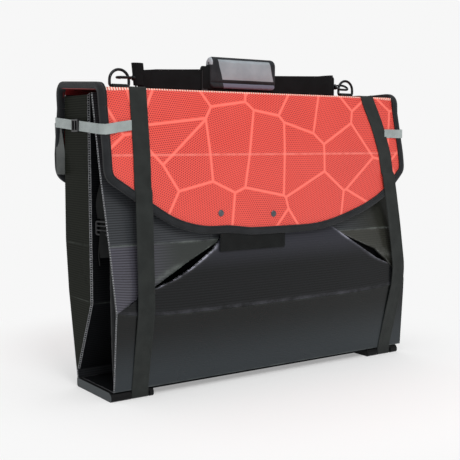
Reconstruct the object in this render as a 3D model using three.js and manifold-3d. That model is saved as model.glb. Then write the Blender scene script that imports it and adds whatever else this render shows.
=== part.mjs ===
// A folding kayak in its carry form: the creased hull sheet folded to a box and closed by its floorboard.
// Millimetres, +Z up, front towards -Y. The origin is on the ground under the middle of the box.
import * as THREE from "three";
import { mergeVertices } from "three/addons/utils/BufferGeometryUtils.js";
import Module from "manifold-3d";

const wasm = await Module();
wasm.setup();

// Fits shared by all pieces
const fit = 0.3; // gap between pieces that touch
const overrun = 5; // how far a cutter runs past what it cuts
const weld = 0.0001; // vertices closer than this are one

// Hull sheet: twin-wall plastic with open flutes between its two skins
const hullLength = 800;
const sheetWall = 5;
const fluteSkin = 1;
const fluteWeb = 3;
const flutePitch = 12;

// Side profile of the folded hull: reach from the middle plane, and height above the ground
const footHeight = 18;
const frontBaseReach = 100;
const frontChineReach = 112;
const frontCreaseReach = 102;
const frontTopReach = 77;
const backBaseReach = 40;
const backChineReach = 74;
const backCreaseReach = 83;
const backTopReach = 77;
const chineHeight = 236;
const creaseHeight = 305;
const backChineHeight = 199;
const backCreaseHeight = 325;
const chineSag = 29; // how much lower the curved chine is at mid length than at the ends
const backChineSag = 16;

// Front main panel and the two corner pleats beside it
const mainTopRise = 40; // above the crease
const mainKneeDrop = 14; // below the crease
const mainKneeReach = 109.2;
const mainProud = 5.5; // how far the main panel stands in front of the upper panel
const pleatSink = 6; // how far a gusset sinks beside the foot of its pleat
const mainLeftInset = 145; // the main panel's lower corner, from the box's left end
const mainKneeLeftInset = 113; // the knee from that corner
const mainTopLeftInset = 47; // the top from the knee
const mainRightInset = 51;
const mainKneeRightInset = 104;
const mainTopRightInset = 93;
const gussetLeftGap = 28; // between the lower corners of the gusset and the main panel
const gussetLeftSlant = 134; // how far the gusset's edge runs in on its way up
const gussetRightGap = 10;
const gussetRightSlant = 136;

// Folded inner wall and the end plates that its ends turn into
const innerReach = 27.5;
const innerKneeHeight = 293;
const innerChineReach = 14;
const innerChineHeight = 191;
const innerFootHeight = 34;
const endPlateDrop = 3.2; // from the hull's top edge
const innerFootRest = 1.5; // from the inner wall's foot to the back panel

// Base feet
const footLength = 96;
const footInset = 12; // from the box end
const footFront = 110;
const footBack = 44;
const footBevel = 3;
const footLip = 5;

// Floorboard: one creased sheet, a top panel and two flaps
const boardHeight = 612; // outer face of the top panel
const boardWall = 5;
const boardFront = 94.5;
const boardBack = 87.5;
const foldDrop = 130; // from the board's top to the flap's fold
const frontFoldReach = 109.5;
const frontLipReach = 116.5;
const backFoldReach = 115.5;
const backLipReach = 117.5;
const flapInset = 2; // from the box end in to the flap's edge
const flapTaper = 8.5; // how much narrower the flap is on each side at its hinge crease
const flapCornerDrop = 48; // from the fold to the flap's corner
const flapCornerRound = 21;
const lipTurn = 185; // where the slanted edge turns into the lip
const lipLift = 6; // from the hull's front crease up to the lip
const lipRound = 100;

// Edge binding: a folded tape round the sheet's edge
const bindingWidth = 16;
const bindingThick = 12;
const bindingWeb = 3.5;
const bindingRound = 3;
const bindingHold = 6; // how far the top's binding stops before a hinge crease

// Compression straps
const strapWidth = 38;
const strapThick = 2;
const strapTopInset = 94; // from the box end to the strap's middle line
const leftStrapInset = 85;
const leftFootInset = 78;
const rightFoldInset = 69;
const rightLipInset = 48;
const rightChineInset = 24;
const rightFootInset = 54;
const strapRest = 3; // width that a foot's groove has beside the strap
const grooveDepth = strapThick + 2 * fit;
const buckleHeight = 250;
const buckleFrame = 5;
const buckleTall = 34;
const buckleLip = 3;
const buckleBar = 6;

// Side straps with their ladder locks
const sideWidth = 20;
const sideThick = 1.5;
const sideBackDrop = 63; // from the board's top
const sideFrontDrop = 81;
const sideRise = 24; // the right one sits this much higher
const strapAside = 1; // from a compression strap to the side strap's end
const lockLength = 28;
const lockWide = 25;
const lockThick = 5;
const lockBar = 3.5;
const tailLength = 104;
const tailSway = 18;

// Closure tab, its patch on the hull, and the rivets above it
const tabMiddle = -51;
const tabLength = 170;
const tabThick = 3;
const tabHold = 25; // above the flap's lip
const tabDrop = 30; // below the flap's lip
const patchThick = 2;
const patchInset = 30;
const rivetMiddle = -59;
const rivetSpread = 68;
const rivetRise = 46; // above the flap's lip
const rivetRadius = 4;
const rivetHead = 1.6;
const rivetDomeShare = 0.75;

// Carry handle: D-rings on keepers, snap hooks, shoulder webbing and pad
const handleY = -3;
const wireRadius = 3; // of the D-rings
const ringHalf = 22;
const ringRise = 34;
const ringCorner = 6;
const keeperWidth = 34;
const keeperWall = 1.8;
const keeperTail = 22;
const ringClear = 0.4;
const hookLegX = 8; // from the hook's collar to the D-ring's leg
const hookLift = 26; // from the board's top to the hooks' middle line
const hookWire = 2.6;
const hookHalf = 9.5;
const hookReach = 25;
const hookRise = 8;
const hookLead = 3;
const hookTilt = (35 * Math.PI) / 180; // how far the right hook lies turned
const collarLength = 6;
const collarRadius = 5.5;
const collarLip = 1.6; // thickness of the collar's lip round the post
const collarEnd = 1.2; // thickness of the collar's closed end
const postRadius = 2.2;
const headRadius = 3.3;
const gateRadius = 1.9;
const gateFoot = 4;
const gateDrop = 8.6;
const gatePin = 0.9;
const heelRadius = 2.1;
const heelHalf = 1.3;
const shoulderRadius = 3;
const noseBack = 3;
const eyeWire = 2;
const eyeHalf = 22;
const eyeDepth = 9;
const eyeCorner = 3;
const handleWebWidth = 38;
const handleLayer = 2;
const sliderLength = 14;
const sliderFrame = 3;
const sliderLip = 2.4;
const sliderBar = 2.6;
const sliderAside = 2; // from the pad to the slider
const padLength = 185;
const padThick = 20;
const padLift = 6; // from the board's top
const padTall = 72;
const padSlot = 5.4;
const padSeamRise = 16; // from the pad's bottom
const padSeam = 1.2;
const padCrown = 1;
const padCornerDrop = 14; // how much lower the pad's top is at its ends
const padDrawShare = 0.25;
const padNoseShare = 0.5;
const padHemShare = 0.8;

// Stored gear inside the box
const padGap = 8; // from the inner wall to the stored pads
const seatInset = 45; // from the box end to the seat pad
const seatPast = 25; // from the seat pad to the middle
const seatTall = 420;
const seatThick = 26;
const backrestInset = 91;
const backrestTall = 300;
const gearRound = 22;
const gearBevel = 5;
const gearSpacing = 14;
const gearGap = 1;
const bulkheadThick = 5;
const bulkheadInset = 120;
const bulkheadTall = 290;
const bulkheadRound = 60;
const footrestLength = 280;
const footrestTall = 110;
const footrestThick = 8;
const innerStrapWidth = 25;
const innerStrapLow = 34; // from the seat pad's top to the strap's seam
const innerStrapDrop = 120;
const innerBuckleTall = 30;
const strapHang = 14; // from the seat pad's edge to the hanging strap

// Counts of steps on curves
const hullSteps = 6;
const backSteps = 4;
const cornerSteps = 4;
const lipSteps = 6;
const roundSides = 10;
const turnSteps = 12;
const padSteps = 12;

// Places worked out from the sizes above
const halfLength = hullLength / 2;
const foldHeight = boardHeight - foldDrop;
const flapCornerHeight = foldHeight - flapCornerDrop;
const flapHalf = halfLength - flapInset;
const flapTopHalf = flapHalf - flapTaper;
const lipHeight = creaseHeight + lipLift;
const strapTopX = halfLength - strapTopInset;
const padBottom = boardHeight + padLift;
const padTop = padBottom + padTall;
const padSeamHeight = padBottom + padSeamRise;
const hookHeight = boardHeight + hookLift;
const hullFloor = footHeight + fit;
const hullTop = boardHeight - (boardWall + bindingThick) / 2 - fit;
const bindingProud = (bindingThick - boardWall) / 2;
const strapTopFace = boardHeight + fit + strapThick;
const keeperBore = wireRadius + ringClear;
const ringAxis = strapTopFace + fit + keeperBore + keeperWall;
const hookOrigin = strapTopX - ringHalf - hookLegX;

const group = new THREE.Group();

// Materials from the photograph
function finish(color, roughness, metalness = 0) {
  return new THREE.MeshStandardMaterial({ color, roughness, metalness });
}

const hullSheet = finish(0x1e2023, 0.38);
const boardSheet = finish(0xe2483d, 0.6);
const bindingTape = finish(0x2c2f31, 0.8);
const webbing = finish(0x232526, 0.9);
const greyWebbing = finish(0x9aa7a5, 0.85);
const moulded = finish(0x17181a, 0.45);
const blackMetal = finish(0x1c1d1f, 0.35, 0.8);
const padCloth = finish(0x6f7c80, 0.9);
const gearCloth = finish(0x2a2c2f, 0.95);

function add(name, geometry, material) {
  const mesh = new THREE.Mesh(welded(geometry), material);
  mesh.name = name;
  group.add(mesh);
}

// One closed surface with shared vertices, no slivers of no width, and faces pointing out.
function welded(geometry) {
  const clean = geometry.clone();
  for (const key of Object.keys(clean.attributes)) {
    if (key !== "position") clean.deleteAttribute(key);
  }
  const merged = mergeVertices(clean, weld);
  const p = merged.attributes.position;
  const corner = [new THREE.Vector3(), new THREE.Vector3(), new THREE.Vector3()];
  const faces = [];
  let volume = 0;
  for (let i = 0; i < merged.index.count; i += 3) {
    const face = [0, 1, 2].map((k) => merged.index.getX(i + k));
    if (new Set(face).size < face.length) continue;
    face.forEach((v, k) => corner[k].fromBufferAttribute(p, v));
    volume += corner[0].dot(corner[1].cross(corner[2]));
    faces.push(face);
  }
  merged.setIndex(faces.flatMap(([a, b, c]) => (volume < 0 ? [b, a, c] : [a, b, c])));
  return merged;
}

function solid(geometry) {
  const closed = welded(geometry);
  const mesh = new wasm.Mesh({
    numProp: 3,
    vertProperties: new Float32Array(closed.attributes.position.array),
    triVerts: new Uint32Array(closed.index.array),
  });
  return new wasm.Manifold(mesh);
}

function geometryOf(body) {
  const mesh = body.getMesh();
  const geometry = new THREE.BufferGeometry();
  geometry.setAttribute("position", new THREE.BufferAttribute(new Float32Array(mesh.vertProperties), 3));
  geometry.setIndex([...mesh.triVerts]);
  return geometry;
}

// A box between two corners.
function block(x0, x1, y0, y1, z0, z1) {
  const geometry = new THREE.BoxGeometry(x1 - x0, y1 - y0, z1 - z0);
  geometry.translate((x0 + x1) / 2, (y0 + y1) / 2, (z0 + z1) / 2);
  return geometry;
}

// A round bar between two points.
function bar(from, to, radius, sides = roundSides) {
  const axis = to.clone().sub(from);
  const geometry = new THREE.CylinderGeometry(radius, radius, axis.length(), sides);
  const turn = new THREE.Quaternion();
  turn.setFromUnitVectors(new THREE.Vector3(0, 1, 0), axis.clone().normalize());
  geometry.applyQuaternion(turn);
  geometry.translate(...from.clone().add(to).multiplyScalar(0.5));
  return geometry;
}

function ball(centre, radius) {
  const geometry = new THREE.SphereGeometry(radius, roundSides, roundSides / 2);
  geometry.translate(centre.x, centre.y, centre.z);
  return geometry;
}

// Height to reach, read from knots listed by rising height.
function reachAt(knots, height) {
  let i = 1;
  while (i < knots.length - 1 && knots[i][0] < height) i += 1;
  const [h0, r0] = knots[i - 1];
  const [h1, r1] = knots[i];
  return r0 + ((r1 - r0) * (height - h0)) / (h1 - h0);
}

// Moves every vertex by a rule of its place.
function bend(geometry, rule) {
  const p = geometry.attributes.position;
  for (let i = 0; i < p.count; i += 1) {
    const at = rule(p.getX(i), p.getY(i), p.getZ(i));
    p.setXYZ(i, at[0], at[1], at[2]);
  }
  return geometry;
}

// Unit side vectors of a polyline in a plane, lengthened at corners so that an offset keeps its distance.
function mitres(points) {
  const side = (a, b) => {
    const d = b.clone().sub(a).normalize();
    return new THREE.Vector2(d.y, -d.x);
  };
  return points.map((point, i) => {
    const before = i > 0 ? side(points[i - 1], point) : side(point, points[i + 1]);
    const after = i < points.length - 1 ? side(point, points[i + 1]) : before;
    return before.clone().add(after).multiplyScalar(1 / (1 + before.dot(after)));
  });
}

// One skin over rings of m vertices each. With a cap profile it is closed off at both ends, without one it
// runs round to its first ring.
function skin(position, m, cap) {
  const index = [];
  const rings = position.length / (3 * m);
  const spans = cap ? rings - 1 : rings;
  for (let i = 0; i < spans; i += 1) {
    const next = (i + 1) % rings;
    for (let j = 0; j < m; j += 1) {
      const k = (j + 1) % m;
      index.push(i * m + j, i * m + k, next * m + k);
      index.push(i * m + j, next * m + k, next * m + j);
    }
  }
  if (cap) {
    const last = (rings - 1) * m;
    const turned = THREE.ShapeUtils.isClockWise(cap);
    for (const [a, b, c] of THREE.ShapeUtils.triangulateShape(cap, [])) {
      index.push(...(turned ? [a, b, c] : [a, c, b]));
      index.push(...(turned ? [last + a, last + c, last + b] : [last + a, last + b, last + c]));
    }
  }
  const geometry = new THREE.BufferGeometry();
  geometry.setAttribute("position", new THREE.Float32BufferAttribute(position, 3));
  geometry.setIndex(index);
  return geometry;
}

// Carries a closed profile along frames {o, u, v}.
function sweep(profile, frames, closed = false) {
  const position = [];
  for (const f of frames) {
    for (const q of profile) {
      const at = f.o.clone().addScaledVector(f.u, q.x).addScaledVector(f.v, q.y);
      position.push(at.x, at.y, at.z);
    }
  }
  return skin(position, profile.length, closed ? null : profile);
}

// Frames along a path of Vector3 whose rings keep one direction, across.
function framesAlong(points, across, closed = false) {
  const n = points.length;
  const side = (a, b) => b.clone().sub(a).cross(across).normalize();
  return points.map((point, i) => {
    const before = closed || i > 0 ? side(points[(i + n - 1) % n], point) : side(point, points[i + 1]);
    const after = closed || i < n - 1 ? side(point, points[(i + 1) % n]) : before;
    const u = before.clone().add(after).multiplyScalar(1 / (1 + before.dot(after)));
    return { o: point, u, v: across };
  });
}

function circle(radius, sides = roundSides) {
  return Array.from({ length: sides }, (_, i) => {
    const turn = (2 * Math.PI * (i + 0.5)) / sides;
    return new THREE.Vector2(radius * Math.cos(turn), radius * Math.sin(turn));
  });
}

function rectangle(low, high, half) {
  return [
    new THREE.Vector2(low, -half),
    new THREE.Vector2(high, -half),
    new THREE.Vector2(high, half),
    new THREE.Vector2(low, half),
  ];
}

// A flat ribbon whose inner face follows the path; out is +1 or -1 for the side that it thickens to.
function ribbon(points, across, width, thick, out) {
  const profile = rectangle(0, out * thick, width / 2);
  return sweep(profile, framesAlong(points, across));
}

// Rounds chosen corners of an open polyline with quadratic curves.
function roundedLine(corners) {
  const line = [];
  corners.forEach(({ at, cut, steps }, i) => {
    if (!cut) {
      line.push(at);
      return;
    }
    const toBefore = corners[i - 1].at.clone().sub(at).normalize();
    const toAfter = corners[i + 1].at.clone().sub(at).normalize();
    const from = at.clone().addScaledVector(toBefore, cut);
    const to = at.clone().addScaledVector(toAfter, cut);
    const curve = new THREE.QuadraticBezierCurve(from, at, to);
    line.push(...curve.getPoints(steps));
  });
  return line;
}

// A sheet carried along its flutes. The path is its outer face in section, inner is +1 or -1 for the side of
// its wall, and place puts a section point (u, v) at share t of the way across.
function flutedSheet(path, inner, steps, place, before = null, after = null) {
  const outer = path.map(([u, v]) => new THREE.Vector2(u, v));
  const whole = [before, ...path, after].filter((point) => point).map(([u, v]) => new THREE.Vector2(u, v));
  const side = mitres(whole).slice(before ? 1 : 0);
  const under = outer.map((q, i) => q.clone().addScaledVector(side[i], inner * sheetWall));
  const rim = [...outer, ...under.reverse()];
  const shape = new THREE.Shape(THREE.ShapeUtils.isClockWise(rim) ? rim.reverse() : rim);
  for (let i = 1; i < outer.length; i += 1) {
    const run = outer[i].clone().sub(outer[i - 1]);
    const length = run.length();
    const along = run.normalize();
    const normal = new THREE.Vector2(along.y, -along.x).multiplyScalar(inner);
    const count = Math.floor((length - 2 * fluteWeb) / flutePitch);
    const start = (length - count * flutePitch) / 2;
    for (let k = 0; k < count; k += 1) {
      const low = start + k * flutePitch + fluteWeb / 2;
      const high = low + flutePitch - fluteWeb;
      const deep = sheetWall - fluteSkin;
      const corners = [[low, fluteSkin], [high, fluteSkin], [high, deep], [low, deep]];
      const hole = corners.map(([s, depth]) => {
        return outer[i - 1].clone().addScaledVector(along, s).addScaledVector(normal, depth);
      });
      shape.holes.push(new THREE.Path(hole));
    }
  }
  const geometry = new THREE.ExtrudeGeometry(shape, { depth: 1, steps, bevelEnabled: false });
  return bend(geometry, (u, v, t) => place(u, v, t));
}

// Share of the full sag at x, straight between the panel's steps so that neighbours keep one edge.
function sagShare(x, steps) {
  const step = hullLength / steps;
  const k = Math.min(steps - 1, Math.floor((x + halfLength) / step));
  const from = k * step - halfLength;
  const [share0, share1] = [from, from + step].map((at) => 1 - (at / halfLength) ** 2);
  return share0 + ((share1 - share0) * (x - from)) / step;
}

// How far a point of the hull sinks because its chine sags: fully at the chine, not at base and crease.
function sag(x, height, { depth, chine, crease, steps }) {
  const below = (height - hullFloor) / (chine - hullFloor);
  const above = (crease - height) / (crease - chine);
  return depth * sagShare(x, steps) * Math.max(0, Math.min(below, above));
}

// A hull panel between two side edges given as knots of height and x; before and after are its neighbours'
// far points, which its creases are mitred to.
function hullPanel({ path, inner, left, right, steps, drop, before, after }) {
  const place = (y, z, t) => {
    const x0 = reachAt(left, z);
    const x = x0 + t * (reachAt(right, z) - x0);
    return [x, y, z - drop(x, z)];
  };
  return flutedSheet(path, inner, steps, place, before, after);
}

const mainKneeHeight = creaseHeight - mainKneeDrop;
const frontSag = { depth: chineSag, chine: chineHeight, crease: creaseHeight, steps: hullSteps };
const backSag = { depth: backChineSag, chine: backChineHeight, crease: backCreaseHeight, steps: backSteps };
const frontDrop = (x, z) => sag(x, z, frontSag);
const backDrop = (x, z) => sag(x, z, backSag);
const leftEnd = [[hullFloor, -halfLength], [hullTop, -halfLength]];
const rightEnd = [[hullFloor, halfLength], [hullTop, halfLength]];

// Outer faces of the hull by height
const frontFace = [
  [hullFloor, frontBaseReach],
  [chineHeight, frontChineReach],
  [creaseHeight, frontCreaseReach],
  [hullTop, frontTopReach],
];
const backFace = [
  [hullFloor, backBaseReach],
  [backChineHeight, backChineReach],
  [backCreaseHeight, backCreaseReach],
  [hullTop, backTopReach],
];

function buildHullFront() {
  const base = [-frontBaseReach, hullFloor];
  const chine = [-frontChineReach, chineHeight];
  const crease = [-frontCreaseReach, creaseHeight];
  const full = { inner: 1, left: leftEnd, right: rightEnd, steps: hullSteps, drop: frontDrop };
  const lower = [base, [-frontChineReach, chineHeight - fit]];
  add("hull_front_lower", hullPanel({ ...full, path: lower, after: crease }), hullSheet);

  // The main panel bows a little and stands in front of the upper panel behind the closure tab
  const mainReach = frontCreaseReach + mainProud;
  const mainTopHeight = creaseHeight + mainTopRise;
  const mainTopReach = reachAt(frontFace, mainTopHeight) + mainProud;
  const mainFootLeft = halfLength - mainLeftInset;
  const mainFootRight = halfLength - mainRightInset;
  const main = [
    chine,
    [-mainKneeReach, mainKneeHeight],
    [-mainReach, creaseHeight],
    [-mainTopReach, mainTopHeight],
  ];
  const mainLeft = [
    [chineHeight, -mainFootLeft],
    [mainKneeHeight, -mainFootLeft + mainKneeLeftInset],
    [mainTopHeight, -mainFootLeft + mainKneeLeftInset + mainTopLeftInset],
  ];
  const mainRight = [
    [chineHeight, mainFootRight],
    [mainKneeHeight, mainFootRight - mainKneeRightInset],
    [mainTopHeight, mainFootRight - mainKneeRightInset - mainTopRightInset],
  ];
  const mainPanel = hullPanel({ ...full, path: main, left: mainLeft, right: mainRight, before: base });
  add("hull_front_main", mainPanel, hullSheet);

  // The gussets lie flush at the box ends and sink beside the foot of each pleat
  const gusset = { ...full, path: [chine, [-frontCreaseReach, creaseHeight - fit]], steps: hullSteps / 2 };
  const joints = { drop: () => 0, before: base, after: [-frontTopReach, hullTop] };
  const gussetFootLeft = mainFootLeft + gussetLeftGap;
  const gussetFootRight = mainFootRight + gussetRightGap;
  const edgeLeft = [[chineHeight, -gussetFootLeft], [creaseHeight, -gussetFootLeft + gussetLeftSlant]];
  const edgeRight = [[chineHeight, gussetFootRight], [creaseHeight, gussetFootRight - gussetRightSlant]];
  const pleat = (edge) => (x, y, z) => {
    const along = (halfLength - Math.abs(x)) / (halfLength - Math.abs(reachAt(edge, z)));
    const down = Math.min(1, Math.max(0, (creaseHeight - z) / (creaseHeight - chineHeight)));
    return [x, y + pleatSink * along * down, z - frontDrop(x, z)];
  };
  const leftGusset = hullPanel({ ...gusset, ...joints, right: edgeLeft });
  const rightGusset = hullPanel({ ...gusset, ...joints, left: edgeRight });
  add("hull_front_gusset_left", bend(leftGusset, pleat(edgeLeft)), hullSheet);
  add("hull_front_gusset_right", bend(rightGusset, pleat(edgeRight)), hullSheet);

  const flat = { steps: 1, drop: () => 0 };
  const upper = hullPanel({ ...full, ...flat, path: [crease, [-frontTopReach, hullTop]], before: chine });
  add("hull_front_upper", upper, hullSheet);
}

function buildHullBack() {
  const full = { inner: -1, left: leftEnd, right: rightEnd };
  const crease = [backCreaseReach, backCreaseHeight];
  const lower = [
    [backBaseReach, hullFloor],
    [backChineReach, backChineHeight],
    [backCreaseReach, backCreaseHeight - fit],
  ];
  const top = [backTopReach, hullTop];
  const sagging = { steps: backSteps, drop: backDrop };
  add("hull_back_lower", hullPanel({ ...full, ...sagging, path: lower, after: top }), hullSheet);
  const upper = { ...full, path: [crease, top], steps: 1, drop: () => 0, before: lower[1] };
  add("hull_back_upper", hullPanel(upper), hullSheet);
}

// Front face of the inner wall by height; its foot leans on the back panel.
const innerFoot = reachAt(backFace, innerFootHeight) - 2 * sheetWall - innerFootRest;
const innerFace = [
  [innerFootHeight, innerFoot],
  [innerChineHeight, -innerChineReach],
  [innerKneeHeight, -innerReach],
  [hullTop, -innerReach],
];

function buildHullInside() {
  const floorFront = frontBaseReach - sheetWall - 2 * fit;
  const floorBack = backBaseReach - sheetWall - 2 * fit;
  const floorPath = [[hullFloor, -floorFront], [hullFloor, floorBack]];
  const across = (z, y, t) => [halfLength * (2 * t - 1), y, z];
  add("hull_floor", flutedSheet(floorPath, 1, 1, across), hullSheet);

  const wall = innerFace.map(([h, y]) => new THREE.Vector2(y, h));
  const side = mitres(wall);
  const back = wall.map((q, i) => q.clone().addScaledVector(side[i], sheetWall)).reverse();
  const shape = new THREE.Shape([...wall, ...back]);
  const length = hullLength - 2 * (sheetWall + fit);
  const inner = new THREE.ExtrudeGeometry(shape, { depth: length, steps: 1, bevelEnabled: false });
  add("hull_inner_wall", bend(inner, (y, z, x) => [x - length / 2, y, z]), hullSheet);

  add("hull_end_plate_left", endPlate(-1), hullSheet);
  add("hull_end_plate_right", endPlate(1), hullSheet);
}

// An end plate closes the folded stack. Its flutes run front to back and are open at its front edge, which
// follows the inner wall; its back edge follows the back panels.
function endPlate(end) {
  const face = end * halfLength;
  const path = [[face, innerFootHeight], [face, hullTop - endPlateDrop]];
  const deep = backCreaseReach + overrun;
  const board = flutedSheet(path, -end, 1, (x, z, t) => [x, deep * (2 * t - 1), z]);
  const gap = sheetWall + 2 * fit;
  const rear = backFace.map(([h, reach]) => new THREE.Vector2(reach - gap, h));
  const front = innerFace.map(([h, y]) => new THREE.Vector2(y, h)).reverse();
  const outline = new THREE.Shape([...rear, ...front]);
  const room = new THREE.ExtrudeGeometry(outline, { depth: 1, bevelEnabled: false });
  const margin = sheetWall + overrun;
  bend(room, (y, z, t) => [face + margin * (2 * t - 1), y, z]);
  return geometryOf(solid(board).intersect(solid(room)));
}

function buildFeet() {
  const places = [["left", -1, halfLength - leftFootInset], ["right", 1, halfLength - rightFootInset]];
  for (const [name, end, strapX] of places) {
    const outline = new THREE.Shape([
      new THREE.Vector2(-footFront + footBevel, 0),
      new THREE.Vector2(footBack - footBevel, 0),
      new THREE.Vector2(footBack, footBevel),
      new THREE.Vector2(footBack, footHeight),
      new THREE.Vector2(-frontBaseReach - fit, footHeight),
      new THREE.Vector2(-footFront + footBevel, footHeight - footBevel),
      new THREE.Vector2(-footFront, footHeight - footLip - footBevel),
      new THREE.Vector2(-footFront, footBevel),
    ]);
    const inner = halfLength - footInset - footLength;
    const body = new THREE.ExtrudeGeometry(outline, { depth: footLength, bevelEnabled: false });
    bend(body, (y, z, x) => [end * (inner + x), y, z]);
    const half = strapWidth / 2 + strapRest / 2;
    const [x0, x1] = [end * strapX - half, end * strapX + half];
    const [front, back] = [-footFront - overrun, footBack + overrun];
    const high = footHeight + overrun;
    const groove = solid(block(x0, x1, front, back, -overrun, grooveDepth))
      .add(solid(block(x0, x1, front, -footFront + grooveDepth, -overrun, high)))
      .add(solid(block(x0, x1, footBack - grooveDepth, back, -overrun, high)));
    add("foot_" + name, geometryOf(solid(body).subtract(groove)), moulded);
  }
}

// Outer faces of the flaps by height
const frontFlap = [[lipHeight, frontLipReach], [foldHeight, frontFoldReach], [boardHeight, boardFront]];
const backFlap = [[lipHeight, backLipReach], [foldHeight, backFoldReach], [boardHeight, boardBack]];

// Half width of a flap at a height above its corner.
function flapHalfAt(height) {
  return reachAt([[flapCornerHeight, flapHalf], [boardHeight, flapTopHalf]], height);
}

// Half outline of a flap from its hinge crease down to the lip, as points of half width and height.
function flapOutline(top) {
  const crease = new THREE.Vector2(flapHalfAt(top), top);
  const corner = new THREE.Vector2(flapHalf, flapCornerHeight);
  const turn = new THREE.Vector2(lipTurn, lipHeight);
  const middle = new THREE.Vector2(0, lipHeight);
  const line = roundedLine([
    { at: crease },
    { at: corner, cut: flapCornerRound, steps: cornerSteps },
    { at: turn, cut: lipRound, steps: lipSteps },
    { at: middle },
  ]);
  const share = (top - foldHeight) / (top - line[1].y);
  line.splice(1, 0, crease.clone().lerp(line[1], share));
  return line;
}

// Height of the flap's edge above a place along X.
function edgeHeight(x) {
  const line = flapOutline(boardHeight).map((q) => [q.x, q.y]).reverse();
  return reachAt(line, Math.abs(x));
}

function flapSheet(face, sign) {
  const line = flapOutline(boardHeight - fit);
  const inset = bindingWeb + fit;
  const side = mitres(line);
  const inner = line.map((q, i) => q.clone().addScaledVector(side[i], inset));
  inner[0].y = boardHeight - fit;
  const position = [];
  inner.slice(0, -1).forEach((q, i) => {
    // The first ring is mitred to the top panel
    const drop = i === 0 ? boardWall : 0;
    for (const [x, depth] of [[-q.x, 0], [q.x, 0], [q.x, boardWall], [-q.x, boardWall]]) {
      const z = q.y - (depth ? drop : 0);
      position.push(x, sign * (reachAt(face, z) - depth), z);
    }
  });
  const cap = rectangle(-flapHalf, flapHalf, boardWall);
  return skin(position, cap.length, cap);
}

// Section of the binding: p runs in from the outer edge, q across the sheet's thickness.
function bindingProfile() {
  const half = bindingThick / 2;
  const slot = boardWall / 2 + fit;
  return [
    [0, -half + bindingRound],
    [bindingRound, -half],
    [bindingWidth, -half],
    [bindingWidth, -slot],
    [bindingWeb, -slot],
    [bindingWeb, slot],
    [bindingWidth, slot],
    [bindingWidth, half],
    [bindingRound, half],
    [0, half - bindingRound],
  ].map(([p, q]) => new THREE.Vector2(p, q));
}

function flapBinding(face, sign) {
  const right = flapOutline(hullTop);
  right.pop();
  const left = right.map((q) => new THREE.Vector2(-q.x, q.y)).reverse();
  const line = [...right, ...left];
  const side = mitres(line);
  const frames = line.map((q, i) => {
    const slope = (reachAt(face, q.y + bindingWidth) - reachAt(face, q.y)) / bindingWidth;
    return {
      o: new THREE.Vector3(q.x, sign * (reachAt(face, q.y) - boardWall / 2), q.y),
      u: new THREE.Vector3(side[i].x, sign * slope * side[i].y, side[i].y),
      v: new THREE.Vector3(0, 1, 0),
    };
  });
  return sweep(bindingProfile(), frames);
}

function buildFloorboard() {
  // The top panel meets each flap at a mitred crease
  const y0 = -boardFront + fit;
  const y1 = boardBack - fit;
  const section = new THREE.Shape([
    new THREE.Vector2(y0, boardHeight),
    new THREE.Vector2(y0 + boardWall, boardHeight - boardWall),
    new THREE.Vector2(y1 - boardWall, boardHeight - boardWall),
    new THREE.Vector2(y1, boardHeight),
  ]);
  const length = 2 * (flapTopHalf - bindingWeb - fit);
  const top = new THREE.ExtrudeGeometry(section, { depth: length, bevelEnabled: false });
  add("floorboard_top", bend(top, (y, z, x) => [x - length / 2, y, z]), boardSheet);

  for (const [name, end] of [["left", -1], ["right", 1]]) {
    const middle = boardHeight - boardWall / 2;
    const frames = [-boardFront + bindingHold, boardBack - bindingHold].map((y) => ({
      o: new THREE.Vector3(end * flapTopHalf, y, middle),
      u: new THREE.Vector3(-end, 0, 0),
      v: new THREE.Vector3(0, 0, 1),
    }));
    add("binding_top_" + name, sweep(bindingProfile(), frames), bindingTape);
  }

  add("floorboard_front", flapSheet(frontFlap, -1), boardSheet);
  add("floorboard_back", flapSheet(backFlap, 1), boardSheet);
  add("binding_front", flapBinding(frontFlap, -1), bindingTape);
  add("binding_back", flapBinding(backFlap, 1), bindingTape);
}

// A compression strap's run over a flap and down to its foot, as inner face points.
function strapRun(face, sign, xAt, footFace) {
  const proud = bindingProud + fit;
  const slant = (flapCornerHeight - lipHeight) / (flapHalf - lipTurn);
  const edge = edgeHeight(xAt(lipHeight));
  const lip = edge - (slant * strapWidth) / 2 - overrun;
  const over = edge + (slant * strapWidth) / 2 + bindingWidth * Math.hypot(1, slant) + fit;
  const flush = over + overrun;
  const point = (reach, z) => new THREE.Vector3(xAt(Math.max(z, footHeight)), sign * reach, z);
  const down = [[footHeight, footFace - grooveDepth + fit], [lip, reachAt(face, lip) + proud]];
  return [
    point(boardSide(sign) + fit, boardHeight - 2 * fit),
    point(reachAt(face, foldHeight) + fit, foldHeight),
    point(reachAt(face, flush) + fit, flush),
    point(reachAt(face, over) + proud, over),
    point(reachAt(face, lip) + proud, lip),
    point(reachAt(down, chineHeight), chineHeight),
    point(footFace - grooveDepth + fit, footHeight),
    point(footFace - grooveDepth + fit, fit),
  ];
}

const boardSide = (sign) => (sign < 0 ? boardFront : boardBack);

// Path of each strap along X by height
const leftStrapPath = [
  [footHeight, leftFootInset - halfLength],
  [chineHeight, leftStrapInset - halfLength],
  [foldHeight, leftStrapInset - halfLength],
  [boardHeight, -strapTopX],
];
const rightStrapPath = [
  [footHeight, halfLength - rightFootInset],
  [chineHeight, halfLength - rightChineInset],
  [lipHeight, halfLength - rightLipInset],
  [foldHeight, halfLength - rightFoldInset],
  [boardHeight, strapTopX],
];

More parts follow.
